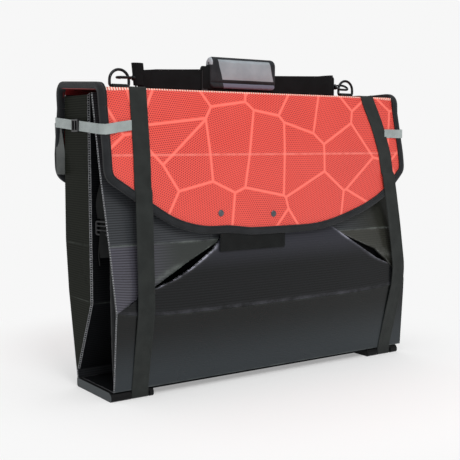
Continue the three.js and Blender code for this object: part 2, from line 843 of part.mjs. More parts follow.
function buildStraps() {
  const across = new THREE.Vector3(1, 0, 0);
  const runs = [["left", leftStrapPath], ["right", rightStrapPath]];
  for (const [name, path] of runs) {
    const xAt = (z) => reachAt(path, z);
    const front = strapRun(frontFlap, -1, xAt, footFront);
    add("strap_" + name + "_front", ribbon(front, across, strapWidth, strapThick, 1), webbing);
    const straightX = (z) => reachAt([path[0], path[path.length - 1]], z);
    const back = strapRun(backFlap, 1, straightX, footBack);
    add("strap_" + name + "_back", ribbon(back, across, strapWidth, strapThick, -1), webbing);
    const topX = path[path.length - 1][1];
    const half = strapWidth / 2;
    const low = boardHeight + fit;
    const top = block(topX - half, topX + half, -boardFront, boardBack, low, low + strapThick);
    add("strap_" + name + "_top", top, webbing);
    const footX = path[0][1];
    const [footY0, footY1] = [-footFront + grooveDepth + fit, footBack - grooveDepth - fit];
    const under = block(footX - half, footX + half, footY0, footY1, fit, fit + strapThick);
    add("strap_" + name + "_under", under, webbing);
    add("strap_" + name + "_buckle", strapBuckle(back, straightX), moulded);
  }
}

// A ladder lock in its own frame: webbing runs through it along Z, from y 0 to its thickness.
function ladderBuckle({ width, thick, frame, tall, lip, rung }) {
  const halfX = width / 2 + fit + frame;
  const slot = width / 2 + fit;
  const low = -lip - fit;
  const high = thick + fit + lip;
  const top = tall / 2;
  let body = solid(block(-halfX, halfX, low, high, -top, top));
  body = body.subtract(solid(block(-slot, slot, -fit, thick + fit, -top - overrun, top + overrun)));
  body = body.subtract(solid(block(-slot, slot, thick, high + overrun, -top + rung, -rung / 2)));
  body = body.subtract(solid(block(-slot, slot, thick, high + overrun, rung / 2, top - rung)));
  return geometryOf(body);
}

// The lock that tightens a compression strap, square to its back run.
function strapBuckle(back, xAt) {
  const [low, high] = [back[6], back[5]];
  const share = (buckleHeight - low.z) / (high.z - low.z);
  const centre = low.clone().lerp(high, share);
  const lean = Math.atan2(high.y - low.y, high.z - low.z);
  const size = { width: strapWidth, thick: strapThick, frame: buckleFrame };
  const geometry = ladderBuckle({ ...size, tall: buckleTall, lip: buckleLip, rung: buckleBar });
  geometry.rotateX(-lean);
  geometry.translate(0, centre.y, centre.z);
  return bend(geometry, (x, y, z) => [x + xAt(z), y, z]);
}

// Height of a side strap's middle line at a place from front to back.
function sideHeight(y) {
  const line = [[-frontFoldReach, boardHeight - sideFrontDrop], [backFoldReach, boardHeight - sideBackDrop]];
  return reachAt(line, y);
}

// A side strap's path round one end of the box, from its flap to the lock.
function sidePath(end, sign, face, rise) {
  const height = (y) => sideHeight(y) + rise;
  const level = height(sign * frontFoldReach);
  const reach = reachAt(face, level - sideWidth / 2);
  const proud = bindingProud + fit;
  const path = end < 0 ? leftStrapPath : rightStrapPath;
  const beside = Math.abs(reachAt(path, level - sideWidth / 2));
  const start = beside + strapWidth / 2 + strapAside;
  const edge = flapHalfAt(level + sideWidth / 2) - bindingWidth - overrun;
  const outside = halfLength + 2 * fit;
  const meet = sign * (lockLength / 2 + fit);
  const at = (x, y) => new THREE.Vector3(end * x, y, height(y));
  return [
    at(start, sign * (reach + fit)),
    at(edge, sign * (reach + fit)),
    at(edge + overrun, sign * (reach + proud)),
    at(flapHalf - bindingRound, sign * (reach + proud)),
    at(outside, sign * (reach + proud - overrun)),
    at(outside, meet),
  ];
}

// The lock of a side strap: a flat frame with two windows.
function sideLock(end) {
  let body = solid(block(0, lockThick, -lockLength / 2, lockLength / 2, -lockWide / 2, lockWide / 2));
  const half = lockWide / 2 - lockBar;
  const inner = lockLength / 2 - lockBar;
  body = body.subtract(solid(block(-overrun, lockThick + overrun, -inner, -lockBar / 2, -half, half)));
  body = body.subtract(solid(block(-overrun, lockThick + overrun, lockBar / 2, inner, -half, half)));
  return bend(geometryOf(body), (x, y, z) => [end * (x + halfLength + fit), y, z]);
}

function buildSideStraps() {
  const across = new THREE.Vector3(0, 0, 1);
  for (const [name, end, rise] of [["left", -1, 0], ["right", 1, sideRise]]) {
    const front = ribbon(sidePath(end, -1, frontFlap, rise), across, sideWidth, sideThick, end);
    add("side_strap_" + name + "_front", front, greyWebbing);
    const back = ribbon(sidePath(end, 1, backFlap, rise), across, sideWidth, sideThick, -end);
    const whole = end < 0 ? geometryOf(solid(back).add(solid(looseTail()))) : back;
    add("side_strap_" + name + "_back", whole, greyWebbing);
    const lock = sideLock(end).translate(0, 0, sideHeight(0) + rise);
    add("side_lock_" + name, lock, moulded);
  }
}

// The loose tail of the left side strap hangs down the end of the box from its back half.
function looseTail() {
  const x = -(halfLength + 2 * fit + sideThick / 2);
  const top = sideHeight(backTopReach);
  const drop = tailLength + sideWidth / 2;
  const points = [0, 1, 2].map((i) => {
    const share = i / 2;
    return new THREE.Vector3(x, backTopReach - tailSway * share * share, top - drop * share);
  });
  return ribbon(points, new THREE.Vector3(-1, 0, 0), sideThick, sideWidth, 1);
}

function buildClosure() {
  const across = new THREE.Vector3(1, 0, 0);
  const outer = frontLipReach + bindingProud + fit;
  const mainReach = frontCreaseReach + mainProud;
  const face = [[chineHeight, frontChineReach], [mainKneeHeight, mainKneeReach], [creaseHeight, mainReach]];
  const point = (reach, z) => new THREE.Vector3(tabMiddle, -reach, z);
  const tabHem = lipHeight - tabDrop;
  const patchTop = creaseHeight - overrun;
  const patchHem = tabHem + fit;
  const onPatch = (z) => reachAt(face, z) + patchThick + 3 * fit;
  const under = lipHeight - tabThick - fit;
  const tab = [
    point(outer, lipHeight + tabHold),
    point(outer, lipHeight),
    point(onPatch(under), under),
    point(onPatch(tabHem), tabHem),
  ];
  add("closure_tab", ribbon(tab, across, tabLength, tabThick, 1), webbing);
  const patch = [patchTop, patchHem].map((z) => point(reachAt(face, z) + 2 * fit, z));
  add("closure_patch", ribbon(patch, across, tabLength - 2 * patchInset, patchThick, 1), webbing);

  const rivetHeight = lipHeight + rivetRise;
  for (const [name, side] of [["left", -1], ["right", 1]]) {
    const x = rivetMiddle + side * rivetSpread;
    const head = [
      new THREE.Vector2(0, 0),
      new THREE.Vector2(rivetRadius, 0),
      new THREE.Vector2(rivetRadius * rivetDomeShare, rivetHead * rivetDomeShare),
      new THREE.Vector2(0, rivetHead),
    ];
    const dome = new THREE.LatheGeometry(head, turnSteps);
    dome.rotateX(Math.PI);
    dome.translate(x, -reachAt(frontFlap, rivetHeight + rivetRadius) - 2 * fit, rivetHeight);
    add("rivet_" + name, dome, blackMetal);
  }
}

// A D-ring: a straight bar at the keeper, two legs and a half round top, swept as one closed loop.
function buildRings() {
  const across = new THREE.Vector3(0, 1, 0);
  for (const [name, end] of [["left", -1], ["right", 1]]) {
    const legTop = ringAxis + ringRise - ringHalf;
    const at = (x, z) => new THREE.Vector3(end * strapTopX + x, handleY, z);
    const points = [];
    for (let i = 0; i <= turnSteps; i += 1) {
      const turn = (Math.PI * i) / turnSteps;
      points.push(at(ringHalf * Math.cos(turn), legTop + ringHalf * Math.sin(turn)));
    }
    for (let i = 0; i <= cornerSteps; i += 1) {
      const turn = Math.PI + (Math.PI / 2) * (i / cornerSteps);
      const [x, z] = [ringCorner * Math.cos(turn), ringCorner * Math.sin(turn)];
      points.push(at(-ringHalf + ringCorner + x, ringAxis + ringCorner + z));
    }
    for (let i = 0; i <= cornerSteps; i += 1) {
      const turn = 1.5 * Math.PI + (Math.PI / 2) * (i / cornerSteps);
      const [x, z] = [ringCorner * Math.cos(turn), ringCorner * Math.sin(turn)];
      points.push(at(ringHalf - ringCorner + x, ringAxis + ringCorner + z));
    }
    add("d_ring_" + name, sweep(circle(wireRadius), framesAlong(points, across, true), true), blackMetal);

    // The keeper is webbing looped over the ring's bar and sewn flat to the strap on both sides
    const low = strapTopFace + fit;
    const x0 = end * strapTopX - keeperWidth / 2;
    const x1 = x0 + keeperWidth;
    const outer = keeperBore + keeperWall;
    const rod = (radius, past) => {
      const from = new THREE.Vector3(x0 - past, handleY, ringAxis);
      return solid(bar(from, new THREE.Vector3(x1 + past, handleY, ringAxis), radius, 2 * roundSides));
    };
    const tail = solid(block(x0, x1, handleY - keeperTail, handleY + keeperTail, low, low + keeperWall));
    const loop = rod(outer, 0).add(tail).subtract(rod(keeperBore, overrun));
    add("ring_keeper_" + name, geometryOf(loop), webbing);
  }
}

// A place on a snap hook: s out from its collar, h across its loop, n square to the loop.
function hookFrame(end, tilt) {
  const [c, d] = [Math.cos(tilt), Math.sin(tilt)];
  return (s, h, n) => {
    return new THREE.Vector3(end * (hookOrigin + s), handleY - h * c + n * d, hookHeight + h * d + n * c);
  };
}

function buildHooks() {
  const tilts = { left: 0, right: -hookTilt };
  for (const [name, end] of [["left", -1], ["right", 1]]) {
    const at = hookFrame(end, tilts[name]);
    add("hook_" + name, hookBody(at), blackMetal);
    add("gate_" + name, hookGate(at), blackMetal);
    add("hook_eye_" + name, hookEye(hookFrame(end, 0)), blackMetal);
  }
}

// A box in a hook's own directions.
function hookBlock(at, s0, s1, h0, h1, n0, n1) {
  return solid(bend(block(s0, s1, h0, h1, n0, n1), (s, h, n) => at(s, h, n).toArray()));
}

// The hook: a bored collar, a round wire bent back to the gate, and a forked shoulder with the gate's pin.
function hookBody(at) {
  const rod = (s0, s1, radius, h = 0) => solid(bar(at(s0, h, 0), at(s1, h, 0), radius, 2 * roundSides));
  const line = [at(-hookWire / 2, 0, 0), at(hookLead, hookHalf / 2, 0), at(hookRise, hookHalf, 0)];
  for (let i = 0; i <= turnSteps; i += 1) {
    const turn = Math.PI / 2 - (Math.PI * i) / turnSteps;
    line.push(at(hookReach + hookHalf * Math.cos(turn), hookHalf * Math.sin(turn), 0));
  }
  line.push(at(hookReach - noseBack, -hookHalf, 0));
  const normal = at(0, 0, 1).sub(at(0, 0, 0));
  const wire = solid(sweep(circle(hookWire), framesAlong(line, normal)));
  const foot = at(gateFoot, -gateDrop, 0);
  const shoulder = solid(bar(at(0, 0, 0), foot, shoulderRadius)).add(solid(ball(foot, shoulderRadius)));
  const root = solid(ball(at(0, 0, 0), shoulderRadius));
  const forkHalf = heelHalf + fit;
  const around = heelRadius + fit;
  const [slotLow, slotHigh] = [-gateDrop - overrun, -gateDrop + 2 * around];
  const slot = hookBlock(at, gateFoot - around, hookReach, slotLow, slotHigh, -forkHalf, forkHalf);
  const pinFrom = at(gateFoot, -gateDrop, -forkHalf - fit);
  const pin = solid(bar(pinFrom, at(gateFoot, -gateDrop, forkHalf + fit), gatePin));
  const fork = shoulder.add(root).subtract(slot).add(pin);
  const bore = rod(-collarLength - overrun, -collarLength / 2, postRadius + fit);
  const seat = rod(-collarLength + collarLip, -collarEnd, headRadius + fit);
  return geometryOf(rod(-collarLength, 0, collarRadius).add(wire).add(fork).subtract(bore).subtract(seat));
}

// The sprung gate: a heel bored for the pin, a tongue, and a round bar that closes on the nose.
function hookGate(at) {
  const [heelFrom, heelTo] = [-heelHalf, heelHalf].map((n) => at(gateFoot, -gateDrop, n));
  const heel = solid(bar(heelFrom, heelTo, heelRadius, 2 * roundSides));
  const tongueEnd = gateFoot + shoulderRadius + 2 * fit;
  const half = gateRadius - fit;
  const [low, high] = [-gateDrop - half, -gateDrop + half];
  const tongue = hookBlock(at, gateFoot, tongueEnd + fit, low, high, -heelHalf, heelHalf);
  const tip = at(hookReach - noseBack - fit, -hookHalf, 0);
  const rod = solid(bar(at(tongueEnd, -gateDrop, 0), tip, gateRadius));
  const pinFrom = at(gateFoot, -gateDrop, -heelHalf - overrun);
  const hole = solid(bar(pinFrom, at(gateFoot, -gateDrop, heelHalf + overrun), gatePin + fit));
  return geometryOf(heel.add(tongue).add(rod).subtract(hole));
}

// The eye: a wire rectangle for the webbing, and a headed post that the collar turns on.
function hookEye(at) {
  const up = (s, n) => at(s, 0, n);
  const outer = -collarLength - fit - eyeWire;
  const inner = outer - eyeDepth;
  const corners = [[outer, 1], [inner, 1], [inner, -1], [outer, -1]];
  const points = [];
  corners.forEach(([s, side], i) => {
    for (let k = 0; k <= 2; k += 1) {
      const turn = (Math.PI / 2) * (i + k / 2);
      const [cs, cn] = [s === outer ? s - eyeCorner : s + eyeCorner, side * (eyeHalf - eyeCorner)];
      points.push(up(cs + eyeCorner * Math.cos(turn), cn + eyeCorner * Math.sin(turn)));
    }
  });
  const normal = new THREE.Vector3(0, 1, 0);
  const loop = solid(sweep(circle(eyeWire), framesAlong(points, normal, true), true));
  const tip = up(-collarEnd - fit, 0);
  const post = solid(bar(up(outer, 0), tip, postRadius, 2 * roundSides));
  const head = solid(bar(up(-collarLength + collarLip + fit, 0), tip, headRadius, 2 * roundSides));
  return geometryOf(loop.add(post).add(head));
}

// Two layers of webbing on edge, sewn together, with a loop round each hook's eye.
function buildHandleWebbing() {
  const barX = hookOrigin - collarLength - fit - eyeWire - eyeDepth;
  const bore = eyeWire + fit;
  const loop = bore + handleLayer;
  const half = handleLayer + fit / 2;
  const start = Math.asin(half / loop);
  const outline = [];
  for (const end of [1, -1]) {
    for (let i = 0; i <= turnSteps; i += 1) {
      const turn = Math.PI - start - (2 * (Math.PI - start) * i) / turnSteps;
      outline.push(new THREE.Vector2(end * (barX + loop * Math.cos(turn)), end * loop * Math.sin(turn)));
    }
  }
  const shape = new THREE.Shape(outline);
  for (const end of [-1, 1]) {
    const hole = circle(bore).map((q) => new THREE.Vector2(q.x + end * barX, q.y));
    shape.holes.push(new THREE.Path(hole));
  }
  const webbingRun = new THREE.ExtrudeGeometry(shape, { depth: handleWebWidth, bevelEnabled: false });
  webbingRun.translate(0, handleY, hookHeight - handleWebWidth / 2);
  add("shoulder_webbing", webbingRun, webbing);

  const size = { width: handleWebWidth, thick: 2 * half, frame: sliderFrame };
  const slider = ladderBuckle({ ...size, tall: sliderLength, lip: sliderLip, rung: sliderBar });
  slider.rotateY(Math.PI / 2);
  slider.translate(-padLength / 2 - sliderAside - sliderLength / 2, handleY - half, hookHeight);
  add("strap_slider", slider, moulded);
}

// The shoulder pad wraps over the webbing: one folded cushion, open below, thickest at mid length.
function buildPad() {
  const position = [];
  for (let i = 0; i <= padSteps; i += 1) {
    const along = Math.sin(((2 * i) / padSteps - 1) * (Math.PI / 2));
    for (const q of padSection(Math.abs(along))) {
      position.push((along * padLength) / 2, handleY + q.x, q.y);
    }
  }
  const cap = padSection(1);
  add("shoulder_pad", skin(position, cap.length, cap), padCloth);
}

// Section of the pad across its length, at a share of the way from its middle to an end.
function padSection(along) {
  const drawn = 1 - padDrawShare * along ** 4;
  const top = padTop - padCornerDrop * along ** 6;
  const wide = (padThick / 2) * drawn;
  const slot = padSlot / 2;
  const half = [
    [slot, padBottom + slot],
    [slot + (wide - slot) * padNoseShare, padBottom],
    [wide * padHemShare, padBottom + wide * padNoseShare],
    [wide, padSeamHeight - padSeam],
    [wide - padSeam, padSeamHeight],
    [wide, padSeamHeight + padSeam],
    [wide + padCrown * drawn, (padSeamHeight + top) / 2],
    [wide, top - wide],
  ];
  const dome = [];
  for (let i = 1; i < cornerSteps; i += 1) {
    const turn = (Math.PI / 2) * (i / cornerSteps);
    dome.push([wide * Math.cos(turn), top - wide + wide * Math.sin(turn)]);
  }
  const right = [...half, ...dome];
  const left = [...right].reverse().map(([y, z]) => [-y, z]);
  const channel = hookHeight + handleWebWidth / 2 + 2 * fit;
  const inside = [[-slot, channel], [slot, channel]];
  return [...right, [0, top], ...left, ...inside].map(([y, z]) => new THREE.Vector2(y, z));
}

// A padded slab with rounded corners and bevelled edges, standing on the hull's floor.
function standing(name, x, y, length, thick, tall, round, bevel, material) {
  const [a, b] = [length / 2 - bevel, tall / 2 - bevel];
  const r = Math.max(round - bevel, fit);
  const shape = new THREE.Shape();
  shape.moveTo(-a + r, -b);
  shape.lineTo(a - r, -b);
  shape.quadraticCurveTo(a, -b, a, -b + r);
  shape.lineTo(a, b - r);
  shape.quadraticCurveTo(a, b, a - r, b);
  shape.lineTo(-a + r, b);
  shape.quadraticCurveTo(-a, b, -a, b - r);
  shape.lineTo(-a, -b + r);
  shape.quadraticCurveTo(-a, -b, -a + r, -b);
  const bevels = { bevelEnabled: bevel > 0, bevelThickness: bevel, bevelSize: bevel, bevelSegments: 2 };
  const depth = thick - 2 * bevel;
  const slab = new THREE.ExtrudeGeometry(shape, { depth, curveSegments: cornerSteps, ...bevels });
  const floor = hullFloor + sheetWall + fit;
  bend(slab, (u, v, d) => [x + u, y + thick / 2 - bevel - d, floor + tall / 2 + v]);
  add(name, slab, material);
}

function buildGear() {
  const seatY = -innerReach - padGap - seatThick / 2;
  const seatLeft = halfLength - seatInset;
  const seatLength = seatLeft - seatPast;
  const seatX = -seatPast - seatLength / 2;
  const backrestLeft = gearSpacing - seatPast;
  const backrestLength = halfLength - backrestInset - backrestLeft;
  const backrestX = backrestLeft + backrestLength / 2;
  const edges = [gearRound, gearBevel, gearCloth];
  standing("seat_pad", seatX, seatY, seatLength, seatThick, seatTall, ...edges);
  standing("backrest_pad", backrestX, seatY, backrestLength, seatThick, backrestTall, ...edges);
  let front = seatY - seatThick / 2;
  for (const name of ["bulkhead_bow", "bulkhead_stern"]) {
    front -= gearGap + bulkheadThick / 2;
    const bulkheadLength = hullLength - 2 * bulkheadInset;
    standing(name, 0, front, bulkheadLength, bulkheadThick, bulkheadTall, bulkheadRound, 0, hullSheet);
    front -= bulkheadThick / 2;
  }
  const restY = front - gearGap - footrestThick / 2;
  standing("footrest", 0, restY, footrestLength, footrestThick, footrestTall, gearRound, 0, moulded);

  // A strap sewn to the seat pad's edge hangs in the left end of the box with its buckle
  const edge = -seatLeft - fit;
  const hang = edge - strapHang;
  const at = (x, z) => new THREE.Vector3(x, seatY, z);
  const innerStrapTop = hullFloor + sheetWall + fit + seatTall - innerStrapLow;
  const hem = innerStrapTop - innerStrapDrop;
  const path = [at(edge, innerStrapTop), at(hang, innerStrapTop - overrun), at(hang, hem)];
  add("inner_strap", ribbon(path, new THREE.Vector3(0, 1, 0), innerStrapWidth, strapThick, -1), webbing);
  const size = { width: innerStrapWidth, thick: strapThick, frame: sliderFrame };
  const buckle = ladderBuckle({ ...size, tall: innerBuckleTall, lip: sliderLip, rung: sliderBar });
  buckle.rotateZ(Math.PI / 2);
  buckle.translate(hang, seatY, hem + innerBuckleTall / 2);
  add("inner_buckle", buckle, moulded);
}

buildHullFront();
buildHullBack();
buildHullInside();
buildFeet();
buildFloorboard();
buildStraps();
buildSideStraps();
buildClosure();
buildRings();
buildHooks();
buildHandleWebbing();
buildPad();
buildGear();

export default group;
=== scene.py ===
import bpy
import math
import numpy as np
from mathutils import Matrix, Vector


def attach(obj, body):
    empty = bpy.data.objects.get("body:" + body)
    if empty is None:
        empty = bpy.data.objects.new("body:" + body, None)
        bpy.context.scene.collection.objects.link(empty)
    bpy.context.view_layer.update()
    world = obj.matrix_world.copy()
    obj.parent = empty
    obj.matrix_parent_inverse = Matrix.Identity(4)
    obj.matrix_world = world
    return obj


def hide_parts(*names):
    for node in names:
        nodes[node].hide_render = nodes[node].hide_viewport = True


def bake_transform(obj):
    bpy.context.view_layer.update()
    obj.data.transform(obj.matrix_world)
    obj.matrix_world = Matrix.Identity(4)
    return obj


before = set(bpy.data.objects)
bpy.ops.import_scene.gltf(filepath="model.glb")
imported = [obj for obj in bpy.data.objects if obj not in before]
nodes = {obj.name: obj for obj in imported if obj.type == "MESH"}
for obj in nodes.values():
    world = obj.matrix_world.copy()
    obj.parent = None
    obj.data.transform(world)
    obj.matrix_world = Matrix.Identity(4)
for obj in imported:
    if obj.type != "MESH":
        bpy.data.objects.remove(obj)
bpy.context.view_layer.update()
scene = bpy.context.scene
mm = 0.001
print("frame loaded:", len(nodes), "nodes")

# The camera of the photograph, in metres and degrees
camera = {"place": (-1.1756, -1.6585, 0.5035), "turn": -34.63, "down": 5.45, "lens": 70.7, "sensor": 36, "far": 50}


def addObject(name, data):
    made = bpy.data.objects.new(name, data)
    scene.collection.objects.link(made)
    return made


def aimed(direction):
    return direction.to_track_quat("-Z", "Y").to_euler()


def addCamera():
    turn, down = math.radians(camera["turn"]), math.radians(camera["down"])
    data = bpy.data.cameras.new("photoCamera")
    data.lens, data.sensor_width, data.clip_end = camera["lens"], camera["sensor"], camera["far"]
    eye = addObject("photoCamera", data)
    eye.location = camera["place"]
    look = Vector((-math.sin(turn) * math.cos(down), math.cos(turn) * math.cos(down), -math.sin(down)))
    eye.rotation_euler = aimed(look)
    scene.camera = eye


addCamera()


# Points and faces as whole arrays, in millimetres until a piece is made

# Numbers and arrays side by side as the coordinates of points
def spread(*columns):
    return np.stack(np.broadcast_arrays(*columns), -1)


# 0 at start and before, 1 at end and past it, even in between
def between(x, start, end):
    return np.clip((x - start) / (end - start), 0, 1)


# A bell curve: exp(-((x - at) / wide)^2)
def bell(x, at, wide):
    return np.exp(-((x - at) / wide) ** 2)


def runningMean(values, width):
    return np.convolve(np.pad(values, width, "edge"), np.ones(2 * width + 1) / (2 * width + 1), "valid")


# Quads of a grid of rows by cols points, numbered row by row
def gridQuads(rows, cols, wrapRows=False, wrapCols=False):
    i, j = np.arange(rows - (not wrapRows))[:, None], np.arange(cols - (not wrapCols))
    down, over = (i + 1) % rows * cols, (j + 1) % cols
    return spread(i * cols + j, i * cols + over, down + over, down + j).reshape(-1, 4)


def unit(v):
    return v / np.maximum(np.linalg.norm(v, axis=-1, keepdims=True), 1e-12)


# Direction of travel at each point of a path: the mean of the runs before and after it
def tangents(path, closed=False):
    if closed:
        return unit(np.roll(path, -1, 0) - np.roll(path, 1, 0))
    run = unit(np.diff(path, axis=0))
    return unit(np.vstack([run[:1], run[:-1] + run[1:], run[-1:]]))


# Distance walked along a path
def walked(path):
    return np.concatenate([[0], np.cumsum(np.linalg.norm(np.diff(path, axis=0), axis=1))])


# A path taken at even steps of about step, with its corners rounded over about soft
def smoothPath(path, step, soft=0, closed=False):
    path = np.asarray(path, float)
    if closed:
        path = np.vstack([path, path[:1]])
    way = walked(path)
    at = np.linspace(0, way[-1], max(2, int(round(way[-1] / step)) + 1))
    even = np.stack([np.interp(at, way, column) for column in path.T], 1)
    if closed:
        even = even[:-1]
    for _ in range(int((soft / step) ** 2)):
        mean = (np.roll(even, 1, 0) + 2 * even + np.roll(even, -1, 0)) / 4
        even = mean if closed else np.vstack([even[:1], mean[1:-1], even[-1:]])
    return even


# A closed profile of points (u, v) carried along a path; each ring is path + u side + v up, with a fan at open ends
def carried(profile, path, side, up, closed=False):
    rings = path[:, None] + profile[None, :, :1] * side[:, None] + profile[None, :, 1:] * up[:, None]
    n, m = rings.shape[:2]
    points, faces, j = [rings.reshape(-1, 3)], [gridQuads(n, m, closed, True)], np.arange(m)
    for k, ring in enumerate(() if closed else (0, n - 1)):
        points.append(rings[ring].mean(0, keepdims=True))
        fan = spread(ring * m + j, ring * m + (j + 1) % m, n * m + k)
        faces.append(fan if k else fan[:, [1, 0, 2]])
    return np.vstack(points), faces


def circle(sides):
    turn = np.arange(sides) * 2 * math.pi / sides
    return spread(np.cos(turn), np.sin(turn))


# A rectangle of width by height about the origin with corners rounded by r
def softRectangle(width, height, r, steps):
    corner = np.arange(steps + 1) * math.pi / 2 / steps
    parts = []
    for k, (sx, sy) in enumerate(((1, 1), (-1, 1), (-1, -1), (1, -1))):
        turn = corner + k * math.pi / 2
        parts.append(spread(sx * (width / 2 - r) + r * np.cos(turn), sy * (height / 2 - r) + r * np.sin(turn)))
    return np.vstack(parts)


# A round wire along a path; hint is the direction that the rings keep
def wire(path, radius, hint, sides=16, closed=False):
    along, hint = tangents(path, closed), np.asarray(hint, float)
    up = unit(hint - (along @ hint)[:, None] * along)
    return carried(radius * circle(sides), path, np.cross(up, along), up, closed)


# A turned part: a profile of (distance, radius) carried round the axis from start
def lathe(profile, start, axis, sides=28):
    profile, axis = np.asarray(profile, float), unit(np.asarray(axis, float))
    side = unit(np.cross(axis, [0, 0, 1] if abs(axis[2]) < 0.9 else [1, 0, 0]))
    path, radius = start + profile[:, :1] * axis, profile[:, 1:]
    return carried(circle(sides), path, radius * side, radius * np.cross(axis, side))


# A line of (y, z) stood up at x as a path, with its outward side; sign -1 mirrors it toward the front
def stoodUp(line, x, sign=1):
    run = tangents(line)
    return spread(x, sign * line[:, 0], line[:, 1]), spread(0, -sign * run[:, 1], run[:, 0])


# Turns faces round where the closed surface encloses less than nothing
def outward(points, faces):
    volume = 0.0
    for part in faces:
        for k in range(1, part.shape[1] - 1):
            a, b, c = points[part[:, 0]], points[part[:, k]], points[part[:, k + 1]]
            volume += np.einsum("ij,ij->", a, np.cross(b, c))
    return faces if volume > 0 else [part[:, ::-1] for part in faces]


def joined(*bodies):
    points, faces, start = [], [], 0
    for body in bodies:
        points.append(body[0])
        faces += [part + start for part in outward(*body)]
        start += len(body[0])
    return np.vstack(points), faces


# Makes the mesh, finish and body of one piece. uv is one pair per point, tones are per face material numbers, and
# marks are named numbers per point. A piece replaces the CAD node of its own name unless it is told another.
def makePiece(name, shape, materials, body, slot, replaces=None, uv=None, tones=None, marks=None, sharp=60):
    mesh = bpy.data.meshes.new(name)
    mesh.from_pydata((shape[0] * mm).tolist(), [], [face for part in outward(*shape) for face in part.tolist()])
    mesh.update()
    for material in materials if isinstance(materials, list) else [materials]:
        mesh.materials.append(material)
    if uv is not None:
        corner = np.empty(len(mesh.loops), np.int32)
        mesh.loops.foreach_get("vertex_index", corner)
        layer = mesh.uv_layers.new(name="along")
        layer.data.foreach_set("uv", (np.asarray(uv, np.float32) * mm)[corner].ravel())
    if tones is not None:
        mesh.polygons.foreach_set("material_index", np.asarray(tones, np.int32))
    for key, values in (marks or {}).items():
        layer = mesh.attributes.new(key, "FLOAT", "POINT")
        layer.data.foreach_set("value", np.asarray(values, np.float32).ravel())
    mesh.shade_smooth()
    mesh.set_sharp_from_angle(angle=math.radians(sharp))
    piece = addObject(name, mesh)
    if body:
        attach(piece, body)
    if replaces is None and name in nodes:
        replaces = [name]
    if replaces:
        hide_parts(*replaces)
    return piece


# The finish of a CAD part or of a copy of one, whose edges are rounded a little
def dress(piece, material, soft):
    piece.data.materials.clear()
    piece.data.materials.append(material)
    weld = piece.modifiers.new("weld", "WELD")
    weld.merge_threshold = 0.00002
    bevel = piece.modifiers.new("bevel", "BEVEL")
    bevel.width = soft * mm
    bevel.segments = 2
    bevel.limit_method = "ANGLE"
    bevel.angle_limit = math.radians(35)
    bevel.harden_normals = True


# Short steps on a node tree
class Steps:
    def __init__(self, tree):
        self.tree = tree

    def put(self, socket, value):
        if isinstance(value, bpy.types.NodeSocket):
            self.tree.links.new(value, socket)
        else:
            socket.default_value = (*value, 1) if socket.type == "RGBA" else value

    # A node with its settings and inputs; out is the output that it is made for, or none for all of them
    def node(self, kind, inputs, out=0, **settings):
        made = self.tree.nodes.new(kind)
        for key, value in settings.items():
            setattr(made, key, value)
        for key, value in inputs.items():
            self.put(made.inputs[key], value)
        return made.outputs if out is None else made.outputs[out]

    def math(self, operation, *values):
        return self.node("ShaderNodeMath", dict(enumerate(values)), operation=operation)

    def add(self, a, b):
        return self.math("ADD", a, b)

    def less(self, a, b):
        return self.math("SUBTRACT", a, b)

    def times(self, a, b):
        return self.math("MULTIPLY", a, b)

    def far(self, a):
        return self.math("ABSOLUTE", a)

    # Distance of a value's fraction from one half: 0 on each line of a row of lines, 0.5 between them
    def rows(self, value):
        return self.far(self.less(self.math("FRACT", value), 0.5))

    def wave(self, value, pitch):
        return self.math("SINE", self.times(value, 2 * math.pi / pitch))

    def mark(self, name):
        return self.node("ShaderNodeAttribute", {}, "Fac", attribute_name=name)

    def parts(self, vector):
        return self.node("ShaderNodeSeparateXYZ", {0: vector}, None)

    def vector(self, x, y):
        return self.node("ShaderNodeCombineXYZ", {0: x, 1: y})

    def scaled(self, vector, scale):
        return self.node("ShaderNodeMapping", {"Vector": vector, "Scale": scale})

    def noise(self, vector, scale, detail=3.0, rough=0.5):
        inputs = {"Vector": vector, "Scale": scale, "Detail": detail, "Roughness": rough}
        return self.node("ShaderNodeTexNoise", inputs, "Fac")

    def ramp(self, value, low, high, first=0.0, last=1.0):
        inputs = {"Value": value, 1: low, 2: high, 3: first, 4: last}
        return self.node("ShaderNodeMapRange", inputs, interpolation_type="SMOOTHSTEP")

    def blend(self, share, first, second):
        return self.node("ShaderNodeMix", {0: share, 6: first, 7: second}, 2, data_type="RGBA")

    def bump(self, height, strength, distance):
        return self.node("ShaderNodeBump", {"Height": height, "Strength": strength, "Distance": distance})


# A material, made from such steps
class Finish(Steps):
    def __init__(self, name, color, roughness, metallic=0.0, **sockets):
        self.material = bpy.data.materials.new(name)
        self.material.use_nodes = True
        self.material.diffuse_color = (*color, 1)
        super().__init__(self.material.node_tree)
        self.shader = self.tree.nodes["Principled BSDF"]
        self.use(Base_Color=color, Roughness=roughness, Metallic=metallic, **sockets)
        self.place = self.node("ShaderNodeTexCoord", {}, "Object")

    def use(self, **sockets):
        for key, value in sockets.items():
            self.put(self.shader.inputs[key.replace("_", " ")], value)
        return self.material


# Satin black twin-wall plastic: fine lines over the webs, weak streaks along the flutes, creases paled by stress
# In the look, rim is a painted highlight for the main panel's curled rim, and tuck is the painted shade in the slot
# behind that panel
hullLook = {"stress": (0.3, 0.34, 0.31), "rim": (0.62, 0.62, 0.74), "scuff": (0.16, 0.17, 0.17),
            "tuck": (0.0008, 0.0008, 0.001), "paler": 5.5, "shine": 0.2, "rough": (0.25, 0.36),
            "streaks": (3, 3, 160), "scuffs": (24, 24, 150), "breaks": (26, 26, 40)}
